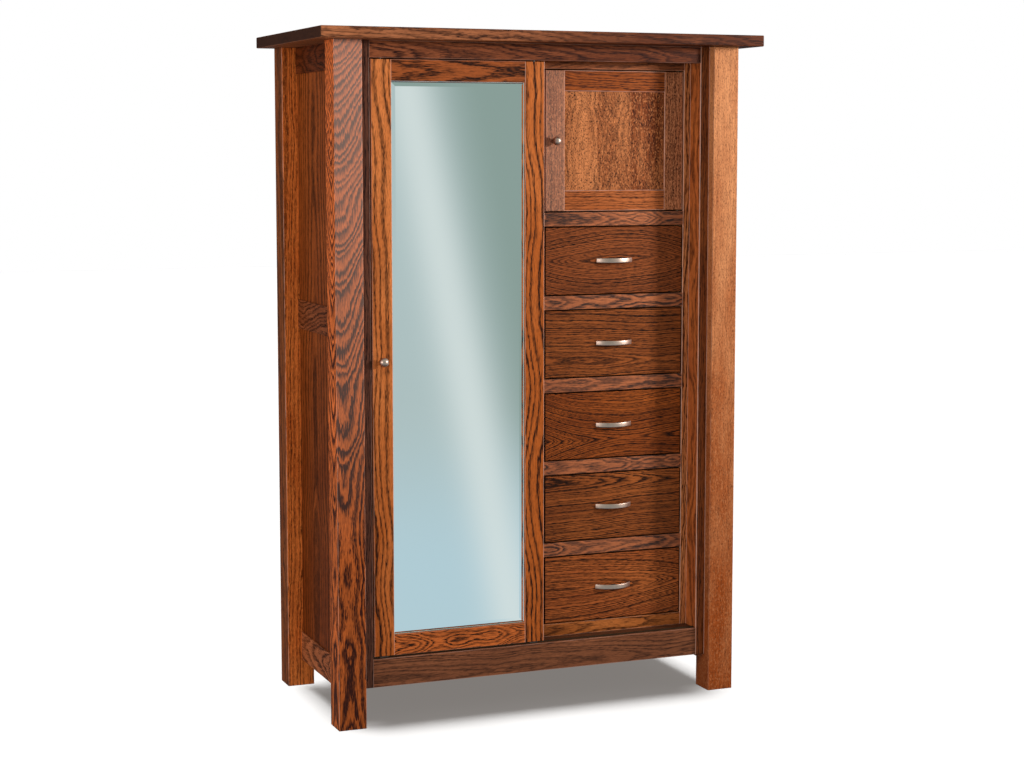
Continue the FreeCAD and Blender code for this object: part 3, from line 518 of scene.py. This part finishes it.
worn_and_glinting = add(oak, MIX, {0: wear_and_glint_share, 6: ended, 7: linear(RUBBED_AND_GLINT_COLOUR)}, data_type="RGBA")
rough = add(oak, MATH, [pores, PORE_ROUGHNESS, WOOD_ROUGHNESS], operation="MULTIPLY_ADD")
relief = add(oak, MATH, [pores, PORE_DIP, 1.0], operation="MULTIPLY_ADD")
add(oak, "NodeGroupOutput", [worn_and_glinting.outputs[2], rough, relief])
print("oak tree nodes", len(oak.nodes))

# %% [markdown]
# ## Boards from the tree
# Each board gets its own material: where its middle is, which way its grain runs, how it was
# sawn, and how dark the stain took. The finish is a satin lacquer, a thin clear coat that is
# smoother than the wood under it.

# %% A board's material
AXES = {"X": Vector((1, 0, 0)), "Y": Vector((0, 1, 0)), "Z": Vector((0, 0, 1))}
LACQUER_COAT, SEALER_COAT, LACQUER_ROUGHNESS = 0.045, 0.05, 0.32
WOOD_SPECULAR = 0.06
PORE_DEPTH, PORE_STRENGTH = 0.25 * MM, 0.5


def turned(centre, across, along):
    """Location and rotation that give (across, into, along) the board, in mm, from its middle."""
    rows = (AXES[across], AXES[along].cross(AXES[across]), AXES[along])
    turn = Matrix(rows)
    return -(turn @ (centre / MM)), turn.to_euler()


def finish(node, material):
    """Puts one material on a CAD node."""
    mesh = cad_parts[node].data
    mesh.materials.clear()
    mesh.materials.append(material)


def timber(name, centre, across, along, colours, coat=LACQUER_COAT, **changes):
    """Wood cut from the oak tree. colours are the light, middle and dark tone of the stain."""
    material = bpy.data.materials.new(name)
    material.use_nodes = True
    tree = material.node_tree
    tree.nodes.clear()
    location, rotation = turned(centre, across, along)
    coordinates = add(tree, "ShaderNodeTexCoord").outputs["Object"]
    scale = (1 / MM, 1 / MM, 1 / MM)
    spot = add(tree, "ShaderNodeMapping", [coordinates, location, rotation, scale])
    figure = add(tree, "ShaderNodeGroup", node_tree=oak)
    tree.links.new(spot.outputs[0], figure.inputs["Place"])
    for socket, code in zip(("Light", "Mid", "Dark"), colours):
        figure.inputs[socket].default_value = linear(code)
    for socket, value in changes.items():
        figure.inputs[socket.replace("_", " ").title()].default_value = value
    bump = add(tree, "ShaderNodeBump", {"Strength": PORE_STRENGTH, "Distance": PORE_DEPTH,
                                        "Height": figure.outputs["Height"]})
    surface = {"Base Color": figure.outputs["Color"], "Roughness": figure.outputs["Roughness"],
               "Normal": bump, "Specular IOR Level": WOOD_SPECULAR, "Coat Weight": coat,
               "Coat Roughness": LACQUER_ROUGHNESS}
    add(tree, "ShaderNodeOutputMaterial", [add(tree, "ShaderNodeBsdfPrincipled", surface)])
    return material


def board(node, across, along, colours, first=None, **changes):
    """Wood on one CAD node. first is the box of the first board, where the node holds a set."""
    low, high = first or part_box(node)
    half = (high - low) / 2 / MM
    into = (set("XYZ") - {across, along}).pop()
    size = {"half_width": half["XYZ".index(across)], "half_depth": half["XYZ".index(into)],
            "half_length": half["XYZ".index(along)], "facing": -1.0 if across == "Z" else 1.0}
    size.update(changes)
    finish(node, timber("oak_" + node, (low + high) / 2, across, along, colours, **size))


def first_of(node, axis, width):
    """The box of the lowest or leftmost board of a set, and the distance to the last one."""
    low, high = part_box(node)
    corner = high.copy()
    corner[axis] = low[axis] + width * MM
    return (low, corner), (high[axis] - low[axis]) / MM - width


print("board helpers ready")

# %% [markdown]
# ## Posts and slab
# The front left post is flat-sawn, with bold wavy arches. The right one is cut on the quarter,
# straight and speckled, and lighter. The sides of a post are painted lighter or darker than its
# face, as painted light and shade: lighter on the front left one, darker on the rear left one. The
# slab is glued up from five boards.

# %% Posts and slab
# Painted light on this post: lighter and flatter towards the top, a painted sheen growing upward, a left
# side painted lighter, and a pale edge line that is partly a painted highlight.
board("post_front_left", "X", "Z", ("CC662E", "984C1E", "30120A"), seed=3.0, ring=12.0,
      pith_across=-20.0, pith_depth=-10.0, lean=-18.0, climb=-230.0, bend=-200.0, swell=13.0,
      swell_length=180.0, sway=8.0, sway_length=330.0, ripple=1.2, ripple_across=10.0,
      ripple_length=34.0, contrast=1.5, band=0.78, tip=0.42, haze=0.12, haze_rise=0.27, arris_wear=0.5,
      side_tone=1.6)
# Painted light: this post too is lighter and flatter towards the top.
board("post_front_right", "X", "Z", ("CC8A5A", "944618", "4A1E0A"), seed=9.0, ring=7.0,
      pith_across=260.0, pith_depth=20.0, climb=8.0, swell=2.0, contrast=0.45, fray=0.6, fleck=0.3,
      tip=0.42, pore_length=6.0, pore_share=0.45)
# Painted light and shade: the sides of this post are painted darker than its front.
board("post_rear_left", "X", "Z", ("F48C42", "B8561F", "401C0A"), seed=14.0, ring=10.0,
      pith_across=180.0, pith_depth=60.0, climb=12.0, swell=4.0, contrast=1.0, fleck=0.35,
      arris_wear=0.6, side_tone=0.34)
board("post_rear_right", "X", "Z", ("B87440", "8E5028", "48260F"), seed=21.0, ring=9.0,
      pith_across=-30.0, pith_depth=40.0, climb=70.0, contrast=0.9)
SLAB_BOARD_WIDTH = 124.6  # mm
board("top_slab", "Y", "X", ("A0623E", "582C18", "281008"), seed=30.0, ring=8.0, pith_across=20.0,
      pith_depth=-40.0, climb=40.0, swell=8.0, contrast=1.0, pitch=SLAB_BOARD_WIDTH, tip=-1.1)
print("posts and slab done")

# %% [markdown]
# ## Sides and back
# The side rails run from post to post, and their panels stand upright between them, in a dark and
# warm wood. The back panel is plywood and was only sealed.

# %% Sides and back
SIDE_RAIL_HEIGHT = 76.0  # mm, of the top and bottom rail on average
for side, start in (("left", 40.0), ("right", 47.0)):
    to_top_rail = first_of(side + "_side_rails", 2, SIDE_RAIL_HEIGHT)[1]
    board(side + "_side_rails", "Z", "Y", ("A8603A", "602A10", "2C1004"), seed=start, ring=13.0,
          pith_across=10.0, pith_depth=30.0, climb=160.0, swell=10.0, swell_length=120.0, ripple=3.0,
          contrast=1.1, fade_step=0.5, pitch=to_top_rail / 2, half_width=FAR)
    board(side + "_side_panels", "Y", "Z", ("964A1C", "743410", "321404"), seed=start + 3, ring=20.0,
          pith_across=60.0, pith_depth=40.0, climb=40.0, swell=12.0, contrast=1.1, blotch=0.5,
          murk=0.5, tip=0.6, half_width=FAR)
board("back_rails", "Z", "X", ("A9744A", "8A5A36", "5A3822"), seed=55.0, contrast=0.5,
      half_width=FAR)
board("back_panel", "X", "Z", ("C08F5C", "A87848", "7A5230"), coat=SEALER_COAT, seed=58.0, ring=12.0,
      pith_across=40.0, pith_depth=120.0, climb=120.0, swell=30.0, contrast=0.45, half_width=FAR)
print("sides and back done")

# %% [markdown]
# ## Front frame
# Header, apron and pocket stiles stand in the shade of the slab and the posts, in a dark, quiet
# wood, and the header is painted darker towards its right end: painted shade beside the right post.
# The face frame behind them is a little livelier, above all the rails between the drawers.

# %% Front frame
QUIET = ("8E5030", "5C2C16", "28100A")
# Painted shade: the negative tip darkens the header towards its right end, beside the post.
board("header_rail", "Z", "X", QUIET, seed=60.0, ring=11.0, pith_across=-14.0, pith_depth=30.0,
      climb=90.0, swell=16.0, contrast=1.15, band=0.7, tip=-0.8)
board("apron_rail", "Z", "X", ("8A5436", "683C26", "3A2014"), seed=66.0, ring=9.0, pith_across=-20.0,
      pith_depth=30.0, climb=40.0, contrast=0.9)
board("pocket_stile_left", "X", "Z", ("6E4432", "44261A", "1C0C08"), seed=70.0, ring=8.0,
      pith_across=120.0, pith_depth=30.0, climb=10.0, contrast=0.9, arris_wear=0.3)
# Painted light: the stile's left side, the wall of the door's pocket, is painted much lighter than its
# front, and its wide pale edge line is partly a painted highlight.
board("pocket_stile_right", "X", "Z", ("985426", "663016", "260E06"), seed=74.0, ring=8.0,
      pith_across=120.0, pith_depth=30.0, climb=10.0, contrast=0.9, arris_wear=0.7, arris_width=3.0,
      side_tone=2.1)
# Their pale edge lines beside the openings are partly a painted highlight, partly wear.
for place_name, start in (("left", 80.0), ("centre", 84.0), ("right", 88.0)):
    board("face_stile_" + place_name, "X", "Z", ("DE925A", "A65C30", "3A1A0C"), seed=start, ring=9.0,
          pith_across=40.0, pith_depth=30.0, climb=30.0, swell=14.0, contrast=1.1, arris_wear=0.6,
          arris_width=2.6)

RAIL_HEIGHT = 38.4  # mm
DRAWER_COUNT = 5
first_rail, to_last_rail = first_of("divider_rails", 2, RAIL_HEIGHT)
# Painted shade: the rails' top and bottom faces, seen in the gaps, are painted darker; a faint painted
# sheen lies on their fronts.
board("divider_rails", "Z", "X", ("BE6E3E", "8A4A2A", "26100A"), first=first_rail, seed=92.0,
      ring=15.0, pith_across=4.0, pith_depth=12.0, climb=130.0, swell=18.0, swell_length=120.0,
      ripple=3.0, ripple_across=14.0, contrast=1.15, band=0.75, haze=0.05, side_tone=0.35,
      arris_wear=0.1, pitch=to_last_rail / (DRAWER_COUNT - 1))
board("face_head_rails", "Z", "X", ("A8643E", "733B1C", "28120A"), seed=96.0, contrast=0.8)
board("face_base_rails", "Z", "X", ("C4743A", "904C1E", "2A1208"), seed=99.0, pith_depth=30.0,
      ring=8.0, climb=60.0, contrast=1.0)
print("front frame done")

# %% [markdown]
# ## The mirror door
# The brightest oak on the piece: orange between thin, dark, running lines.

# %% Mirror door
DOOR_MEMBER = 56.0  # mm
first_stile, to_last_stile = first_of("mirror_door_stiles", 0, DOOR_MEMBER)
# Painted light: lighter towards the top, sides painted lighter than the front, and a pale edge line that
# is partly a painted highlight.
board("mirror_door_stiles", "X", "Z", ("D07C42", "A2521E", "260E04"), first=first_stile, seed=104.0,
      ring=15.0, pith_across=-70.0, pith_depth=30.0, climb=14.0, swell=16.0, swell_length=380.0,
      sway=24.0, sway_length=440.0, ripple=1.1, ripple_across=12.0, ripple_length=80.0, contrast=1.2,
      band=0.42, fray=0.24, tip=0.4, fade_step=0.45, arris_wear=0.5, arris_width=2.2, side_tone=1.6,
      pitch=to_last_stile)
first_door_rail, to_last_rail = first_of("mirror_door_rails", 2, DOOR_MEMBER)
board("mirror_door_rails", "Z", "X", ("D06C30", "8E4921", "220E06"), first=first_door_rail,
      seed=110.0, ring=6.0, ring_step=16.0, pith_across=0.0, pith_depth=24.0, climb=90.0, swell=14.0,
      swell_length=160.0, contrast=1.15, fade_step=0.5, pitch=to_last_rail)
print("mirror door wood done")

# %% [markdown]
# ## The small door and the drawers
# The small door's stiles and panel are quarter-sawn, with a fine speckle. The panel is glued up
# from three staves, each a little duller than the one to its left. The drawer fronts are flat-sawn,
# with their grain across, and have long pointed arches that close near the pull.

# %% Small door and drawers
STAVE_WIDTH = 102.0  # mm
board("small_door_panel", "X", "Z", ("C67C4A", "783A18", "2A0E06"), seed=121.0, ring=18.0,
      pith_across=0.0, pith_depth=8.0, climb=50.0, swell=24.0, swell_length=160.0, sway=24.0,
      contrast=0.6, band=0.7, fleck=0.65, blotch=0.45, murk=0.9, pore_length=5.0, pore_share=0.9,
      pitch=STAVE_WIDTH, fade_step=0.32, half_width=FAR)
first_stile, to_last_stile = first_of("small_door_stiles", 0, DOOR_MEMBER)
# A painted sheen lies on the stiles' fronts, and their pale edge lines are partly a painted highlight.
board("small_door_stiles", "X", "Z", ("BE7A52", "804222", "34160A"), first=first_stile,
      seed=126.0, ring=9.0, pith_across=200.0, pith_depth=30.0, climb=10.0, contrast=0.7,
      fleck=0.75, pitch=to_last_stile, arris_wear=0.6, arris_width=2.2, pore_length=5.0,
      pore_share=0.7, haze=0.15, fade_step=-0.1)
first_small_rail, to_last_rail = first_of("small_door_rails", 2, DOOR_MEMBER)
# Their pale edge lines are partly a painted highlight.
board("small_door_rails", "Z", "X", ("C06E3C", "8E4619", "32140A"), first=first_small_rail,
      seed=131.0, ring=7.0, pith_across=-60.0, pith_depth=20.0, climb=14.0, contrast=0.95,
      pitch=to_last_rail, arris_wear=0.6, arris_width=2.2, fade_step=0.55)

DRAWERS = range(1, DRAWER_COUNT + 1)
DRAWER_TONE = ("A65C2A", "763A18", "1E0C04")
DRAWER_TONES = {1: ("9E5428", "6E3618", "1E0C04"), 3: ("AA5820", "723412", "1C0802"),
                5: ("C06C34", "8A421C", "240E04")}
DRAWER_FIGURES = {
    1: {"climb": 0.0, "bend": 700.0, "pith_across": 4.0, "pith_depth": 14.0, "swell": 5.0},
    2: {"climb": 40.0, "pith_across": -50.0, "pith_depth": 24.0, "swell": 6.0, "swell_length": 180.0},
    3: {"climb": 120.0, "bend": -500.0, "pith_across": -40.0, "pith_depth": 16.0, "swell": 12.0},
    4: {"climb": 60.0, "pith_across": 70.0, "pith_depth": 30.0, "swell": 6.0},
    5: {"climb": 100.0, "bend": 300.0, "pith_across": 0.0, "pith_depth": 16.0, "swell": 8.0},
}
# Painted shade: the fronts' top, bottom and end faces, seen in the gaps, are painted darker.
for drawer in DRAWERS:
    board(f"drawer_{drawer}_front", "Z", "X", DRAWER_TONES.get(drawer, DRAWER_TONE),
          seed=140.0 + 5 * drawer, ring=5.2, sway=8.0, ripple=0.9, ripple_across=14.0,
          ripple_length=60.0, fray=0.28, contrast=1.15, band=0.65, side_tone=0.25, arris_wear=0.0,
          **DRAWER_FIGURES[drawer])
print("doors and drawers done")

# %% [markdown]
# ## Inside
# Drawer boxes, shelf and boards are pale hardwood under clear sealer: the same tree in light
# tones, with little contrast. The floor of the case shows behind the apron, in its shade, and is
# painted dark there: painted shade.

# %% Inside wood
PALE = ("CFA878", "BF9466", "96683F")
INSIDE = {
    "centre_partition": ("Y", "Z"), "drawer_bay_side": ("Y", "Z"), "cupboard_floor": ("Y", "X"),
    "wardrobe_shelf": ("Y", "X"), "shelf_cleats": ("Z", "Y"), "drawer_runners": ("Z", "Y"),
    "drawer_stops": ("Z", "Y"),
}
for order, (node, (across_way, along_way)) in enumerate(INSIDE.items()):
    board(node, across_way, along_way, PALE, coat=SEALER_COAT, seed=200.0 + 6 * order, pith_depth=60.0,
          contrast=0.45, half_width=FAR)
for drawer in DRAWERS:
    board(f"drawer_{drawer}_box", "Z", "Y", PALE, coat=SEALER_COAT, seed=260.0 + 4 * drawer,
          pith_depth=60.0, contrast=0.4, half_width=FAR)
board("mirror_backing", "X", "Z", ("C49A68", "AE8454", "80582F"), coat=0.0, seed=300.0, ring=14.0,
      pith_depth=120.0, contrast=0.35, half_width=FAR)
# Painted shade: the case floor is coloured dark for the shade behind the apron.
board("case_bottom", "Y", "X", ("6A4028", "54301E", "301C14"), coat=SEALER_COAT, seed=310.0,
      half_width=FAR)
print("inside done")

# %% [markdown]
# ## Mirror, metals and nylon
# Float glass, silvered behind, has a slight green-blue tint. The pulls and knobs are nickel
# plated and brushed with a fine belt: that leaves hair lines that pull the highlights out along
# one way. The bushes are drawn brass. The track and the pivot pins are darkened to an oil-rubbed
# bronze, and the glides are brown nylon, so that none of them catches the eye. Real hair lines are
# under 0.1 mm wide and moulded grain is about as fine, so both are drawn coarser, to show at all.

# %% Plain materials
LINE_DEPTH, LINE_STRENGTH = 0.05 * MM, 0.3
TWO_NOISES = (0.6, 1.4)  # the usual range of two noises added up


def plain(name, base, roughness, grit, coarse, depth, metallic=1.0):
    """A finish with fine lines or grain: grit is their size in mm along X, Y and Z, coarse the
    size in mm of the clouds over them, and depth is how far both change the tone."""
    material = bpy.data.materials.new(name)
    material.use_nodes = True
    tree = material.node_tree
    tree.nodes.clear()
    coordinates = add(tree, "ShaderNodeTexCoord").outputs["Object"]
    fine = [1 / (MM * value) for value in grit]
    spot = add(tree, "ShaderNodeMapping", {0: coordinates, 3: fine})
    lines = add(tree, "ShaderNodeTexNoise", {"Vector": spot, "Scale": 1.0, "Detail": 2.0})
    cloud_spot = add(tree, "ShaderNodeMapping", {0: coordinates, 3: [1 / (MM * coarse)] * 3})
    clouds = add(tree, "ShaderNodeTexNoise", {"Vector": cloud_spot, "Scale": 1.0, "Detail": 2.0})
    both = add(tree, MATH, [lines, clouds], operation="ADD")
    tone = add(tree, RANGE, [both, *TWO_NOISES, 1 - depth, 1 + depth])
    colour = add(tree, "ShaderNodeVectorMath", {0: linear(base)[:3], 3: tone}, operation="SCALE")
    rough = add(tree, MATH, [tone, roughness], operation="MULTIPLY")
    bump = add(tree, "ShaderNodeBump", {"Strength": LINE_STRENGTH, "Distance": LINE_DEPTH,
                                        "Height": lines})
    surface = {"Base Color": colour, "Roughness": rough, "Normal": bump, "Metallic": metallic}
    add(tree, "ShaderNodeOutputMaterial", [add(tree, "ShaderNodeBsdfPrincipled", surface)])
    return material


ALONG_X, ALONG_XY, GRAINY, CLEAR = (30.0, 0.6, 0.6), (9.0, 9.0, 0.5), (1.5,) * 3, (400.0,) * 3  # mm
brushed_nickel = plain("brushed_nickel", "B89C8C", 0.42, ALONG_XY, coarse=12.0, depth=0.1)
drawn_brass = plain("drawn_brass", "B08D4E", 0.32, ALONG_X, coarse=20.0, depth=0.12)
rubbed_bronze = plain("oil_rubbed_bronze", "4A382A", 0.45, ALONG_X, coarse=20.0, depth=0.2)
moulded_nylon = plain("moulded_nylon", "3A2C22", 0.5, GRAINY, coarse=15.0, depth=0.06, metallic=0.0)
silvered_glass = plain("silvered_glass", "EEF3F1", 0.02, CLEAR, coarse=900.0, depth=0.01)
finish("mirror_glass", silvered_glass)
finish("small_door_pivot_bushes", drawn_brass)
finish("mirror_door_glides", moulded_nylon)
finish("small_door_catch", moulded_nylon)
for node in ("bottom_track", "case_pivot_pins"):
    finish(node, rubbed_bronze)
for node in ("clothes_rod", "small_door_strike"):
    finish(node, brushed_nickel)
print("metals done")

# %% [markdown]
# ## Bowed pulls
# A pull is a flat strap, bent to a bow, with a broad foot at each end. The shape follows a rule,
# so Geometry Nodes bends it: a cylinder's rings slide along two arcs, an outer and an inner one
# that end in the same plane. Each ring becomes a rounded rectangle between the arcs, and flares
# a little towards the feet. The caps of the cylinder end up flat on the drawer front.

# %% The pull's rule
PULL_INPUTS = {  # metres, but for the last two
    "Length": 0.107, "Rise": 0.024, "Height": 0.0122, "Band": 0.0035, "Foot": 0.011, "Flare": 0.12,
    "Squareness": 0.42,
}
pull_tree = bpy.data.node_groups.new("bowed_pull", "GeometryNodeTree")
for name, value in PULL_INPUTS.items():
    socket = pull_tree.interface.new_socket(name=name, in_out="INPUT", socket_type="NodeSocketFloat")
    socket.default_value = value
pull_tree.interface.new_socket(name="Place", in_out="INPUT", socket_type="NodeSocketVector")
pull_tree.interface.new_socket(name="Geometry", in_out="OUTPUT", socket_type="NodeSocketGeometry")
wanted = add(pull_tree, "NodeGroupInput").outputs
RINGS, ROUND = 56, 28
bar = add(pull_tree, "GeometryNodeMeshCylinder", {"Vertices": ROUND, "Side Segments": RINGS,
                                                  "Radius": 1.0, "Depth": 2.0}, fill_type="NGON")
at = add(pull_tree, "ShaderNodeSeparateXYZ", [add(pull_tree, "GeometryNodeInputPosition")]).outputs
half_length = add(pull_tree, MATH, [wanted["Length"], 0.5], operation="MULTIPLY")
inner_half = add(pull_tree, MATH, [half_length, wanted["Foot"]], operation="SUBTRACT")
inner_rise = add(pull_tree, MATH, [wanted["Rise"], wanted["Band"]], operation="SUBTRACT")
print("pull inputs", len(PULL_INPUTS))

# %% [markdown]
# An arc's radius follows from half its span and its rise. A ring's height in the cylinder, from
# -1 to 1, says how far round the arc it goes.

# %% Two arcs
ends = []
for half, top in ((half_length, wanted["Rise"]), (inner_half, inner_rise)):
    half_squared = add(pull_tree, MATH, [half, half], operation="MULTIPLY")
    both = add(pull_tree, MATH, [top, top, half_squared], operation="MULTIPLY_ADD")
    doubled = add(pull_tree, MATH, [top, 2.0], operation="MULTIPLY")
    bow = add(pull_tree, MATH, [both, doubled], operation="DIVIDE")
    sine = add(pull_tree, MATH, [half, bow], operation="DIVIDE")
    reach = add(pull_tree, MATH, [sine], operation="ARCSINE")
    angle = add(pull_tree, MATH, [reach, at["Z"]], operation="MULTIPLY")
    side = add(pull_tree, MATH, [angle], operation="SINE")
    front = add(pull_tree, MATH, [angle], operation="COSINE")
    x = add(pull_tree, MATH, [side, bow], operation="MULTIPLY")
    behind = add(pull_tree, MATH, [top, bow], operation="SUBTRACT")
    y = add(pull_tree, MATH, [front, bow, behind], operation="MULTIPLY_ADD")
    ends.append(add(pull_tree, "ShaderNodeCombineXYZ", [x, y, 0.0]))
print("arcs", len(ends))

# %% [markdown]
# A circle turns into a rounded rectangle where both its coordinates are raised to a power under
# one. Through the strap, a ring then goes from the inner arc to the outer one.

# %% Rings between the arcs
corner = []
for value in (at["X"], at["Y"]):
    size = add(pull_tree, MATH, [value], operation="ABSOLUTE")
    squared = add(pull_tree, MATH, [size, wanted["Squareness"]], operation="POWER")
    sign = add(pull_tree, MATH, [value], operation="SIGN")
    corner.append(add(pull_tree, MATH, [squared, sign], operation="MULTIPLY"))
blend = add(pull_tree, RANGE, [corner[0], -1.0, 1.0])
spot = add(pull_tree, MIX, {0: blend, 4: ends[1], 5: ends[0]}, data_type="VECTOR").outputs[1]
spread = add(pull_tree, MATH, [at["Z"], at["Z"]], operation="MULTIPLY")
flared = add(pull_tree, MATH, [spread, wanted["Flare"], 1.0], operation="MULTIPLY_ADD")
tall = add(pull_tree, MATH, [wanted["Height"], flared], operation="MULTIPLY")
half_tall = add(pull_tree, MATH, [tall, 0.5], operation="MULTIPLY")
up = add(pull_tree, MATH, [corner[1], half_tall], operation="MULTIPLY")
lifted = add(pull_tree, "ShaderNodeCombineXYZ", [0.0, 0.0, up])
bent = add(pull_tree, "ShaderNodeVectorMath", [spot, lifted], operation="ADD")
forward = add(pull_tree, "ShaderNodeVectorMath", [bent, (1.0, -1.0, 1.0)], operation="MULTIPLY")
placed = add(pull_tree, "ShaderNodeVectorMath", [forward, wanted["Place"]], operation="ADD")
shaped = add(pull_tree, "GeometryNodeSetPosition", {"Geometry": bar, "Position": placed})
turned_out = add(pull_tree, "GeometryNodeFlipFaces", {"Mesh": shaped})
real = add(pull_tree, "GeometryNodeRealizeInstances", {"Geometry": turned_out})
clad = add(pull_tree, "GeometryNodeSetMaterial", {"Geometry": real, "Material": brushed_nickel})
add(pull_tree, "NodeGroupOutput", [clad])
print("pull nodes", len(pull_tree.nodes))

# %% [markdown]
# A tree is evaluated on an empty object, its inputs are set by their identifiers, and the result
# is turned into a plain mesh. Joining it with the two screws makes one piece for each drawer.

# %% Meshes from a tree
SMOOTH_BELOW = 40.0  # degrees between faces


def evaluated(tree, values):
    """The mesh that a Geometry Nodes tree makes with these inputs."""
    carrier = bpy.data.objects.new("carrier", bpy.data.meshes.new("carrier"))
    bpy.context.scene.collection.objects.link(carrier)
    modifier = carrier.modifiers.new("tree", "NODES")
    modifier.node_group = tree
    for item in tree.interface.items_tree:
        if item.item_type == "SOCKET" and item.in_out == "INPUT" and item.name in values:
            modifier[item.identifier] = values[item.name]
    graph = bpy.context.evaluated_depsgraph_get()
    mesh = bpy.data.meshes.new_from_object(carrier.evaluated_get(graph), depsgraph=graph)
    carrier.modifiers.remove(modifier)
    bpy.data.objects.remove(carrier)
    return mesh


def joined(name, meshes, material):
    """One object from several meshes, smooth but for its sharp edges."""
    whole = bmesh.new()
    for mesh in meshes:
        whole.from_mesh(mesh)
    bmesh.ops.recalc_face_normals(whole, faces=whole.faces)
    mesh = bpy.data.meshes.new(name)
    whole.to_mesh(mesh)
    whole.free()
    mesh.polygons.foreach_set("use_smooth", [True] * len(mesh.polygons))
    mesh.set_sharp_from_angle(angle=math.radians(SMOOTH_BELOW))
    mesh.materials.append(material)
    piece = bpy.data.objects.new(name, mesh)
    bpy.context.scene.collection.objects.link(piece)
    return piece


print("smooth below", SMOOTH_BELOW, "degrees")

# %% [markdown]
# ## Turned pieces
# Knobs and screw heads are turned on a lathe, so their meshes are spun too: half a profile goes
# round an axis. The knob is a flat flange, a hollow neck and a lens-shaped head with a soft rim.
# The screw behind it has a shallow pan head.

# %% A lathe
TURNS = 48


def spun(profile, place, forward):
    """A closed shell from (radius, height) points in mm, spun round an axis along forward * Y."""
    shell = bmesh.new()
    points = [shell.verts.new((r * MM, forward * h * MM, 0)) for r, h in profile]
    lines = [shell.edges.new(pair) for pair in zip(points, points[1:])]
    bmesh.ops.spin(shell, geom=points + lines, cent=(0, 0, 0), axis=(0, 1, 0), angle=2 * math.pi,
                   steps=TURNS, use_duplicate=False)
    bmesh.ops.remove_doubles(shell, verts=shell.verts, dist=0.01 * MM)
    bmesh.ops.recalc_face_normals(shell, faces=shell.faces)
    bmesh.ops.translate(shell, verts=shell.verts, vec=place)
    mesh = bpy.data.meshes.new("spun")
    shell.to_mesh(mesh)
    shell.free()
    return mesh


def rounded_profile(corners, radius, steps=5):
    """Corners (radius, height) in mm, each inner one replaced by a small arc-like curve."""
    points = [corners[0]]
    for before, corner, after in zip(corners, corners[1:], corners[2:]):
        here = Vector(corner)
        ahead, back = Vector(after) - here, Vector(before) - here
        cut = min(radius, ahead.length / 2, back.length / 2)
        start, end = here + back.normalized() * cut, here + ahead.normalized() * cut
        for step in range(steps + 1):
            t = step / steps
            points.append(start * (1 - t) ** 2 + here * 2 * t * (1 - t) + end * t ** 2)
    points.append(corners[-1])
    return [(p[0], p[1]) for p in points]


KNOB_RADIUS, KNOB_PROJECTION, KNOB_RIM = 12.5, 23.0, 13.5  # mm
KNOB_FOOT = [(0, 0), (8.5, 0), (8.3, 1.6), (5.6, 3.0), (5.1, 7.0), (8.4, 10.4)]  # radius, height
KNOB_HEAD = [(8.4, 10.4), (12.0, 11.6), (12.5, 13.4)]
FOOT_ROUNDING, HEAD_ROUNDING = 1.2, 1.5
DOME_STEPS = 10
dome_rise = KNOB_PROJECTION - KNOB_RIM
dome_radius = (KNOB_RADIUS ** 2 + dome_rise ** 2) / (2 * dome_rise)
dome_angle = math.asin(min(1.0, KNOB_RADIUS / dome_radius))
dome = []
for step in range(DOME_STEPS):
    turn_angle = dome_angle * (1 - step / DOME_STEPS)
    dome.append((dome_radius * math.sin(turn_angle),
                 KNOB_PROJECTION - dome_radius * (1 - math.cos(turn_angle))))
foot_profile = rounded_profile(KNOB_FOOT, FOOT_ROUNDING)
head_profile = rounded_profile(KNOB_HEAD, HEAD_ROUNDING)
knob_profile = foot_profile[:-1] + head_profile[:-1] + dome + [(0, KNOB_PROJECTION)]
DOOR_THICKNESS = 20.0  # mm
SCREW_RADIUS, HEAD_RADIUS, HEAD_RIM, HEAD_HEIGHT = 2.0, 4.5, 1.2, 2.5
SCREW_ROUNDING = 0.3
HEAD_SLOPE = 1.6
head_top = DOOR_THICKNESS + HEAD_HEIGHT
SCREW = [(0, 0), (SCREW_RADIUS, 0), (SCREW_RADIUS, DOOR_THICKNESS - SCREW_ROUNDING),
         (HEAD_RADIUS, DOOR_THICKNESS), (HEAD_RADIUS, DOOR_THICKNESS + HEAD_RIM),
         (HEAD_RADIUS - HEAD_SLOPE, head_top), (0, head_top)]
screw_profile = rounded_profile(SCREW, SCREW_ROUNDING, steps=3)
print("knob profile points", len(knob_profile))

# %% [markdown]
# Each pull and knob stands on the face of its drawer or door, at the middle of its CAD node. It
# rides on that body, and the plain solid makes way for it.

# %% Pulls and knobs in place
SCREW_OFFSET = (PULL_INPUTS["Length"] - PULL_INPUTS["Foot"]) / 2
for drawer in DRAWERS:
    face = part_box(f"drawer_{drawer}_front")[0].y
    pull_low, pull_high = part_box(f"drawer_{drawer}_pull")
    place = Vector(((pull_low.x + pull_high.x) / 2, face, (pull_low.z + pull_high.z) / 2))
    meshes = [evaluated(pull_tree, {"Place": place})]
    for way in (-1, 1):
        meshes.append(spun(screw_profile, place + Vector((way * SCREW_OFFSET, 0, 0)), 1))
    pull = joined(f"bowed_pull_{drawer}", meshes, brushed_nickel)
    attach(pull, f"drawer_{drawer}")
    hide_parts(f"drawer_{drawer}_pull")
for body, stiles in (("mirror_door", "mirror_door_stiles"), ("small_door", "small_door_stiles")):
    knob_low, knob_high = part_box(body + "_knob")
    place = Vector(((knob_low.x + knob_high.x) / 2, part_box(stiles)[0].y, (knob_low.z + knob_high.z) / 2))
    meshes = [spun(knob_profile, place, -1), spun(screw_profile, place, 1)]
    knob = joined(body + "_turned_knob", meshes, brushed_nickel)
    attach(knob, body)
    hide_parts(body + "_knob")
print("pulls", DRAWER_COUNT, "knobs 2")

# %% [markdown]
# ## Size
# The size of the dressed piece is printed.

# %% Size
low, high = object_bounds()
print("visual size", [round(v, 4) for v in high - low])
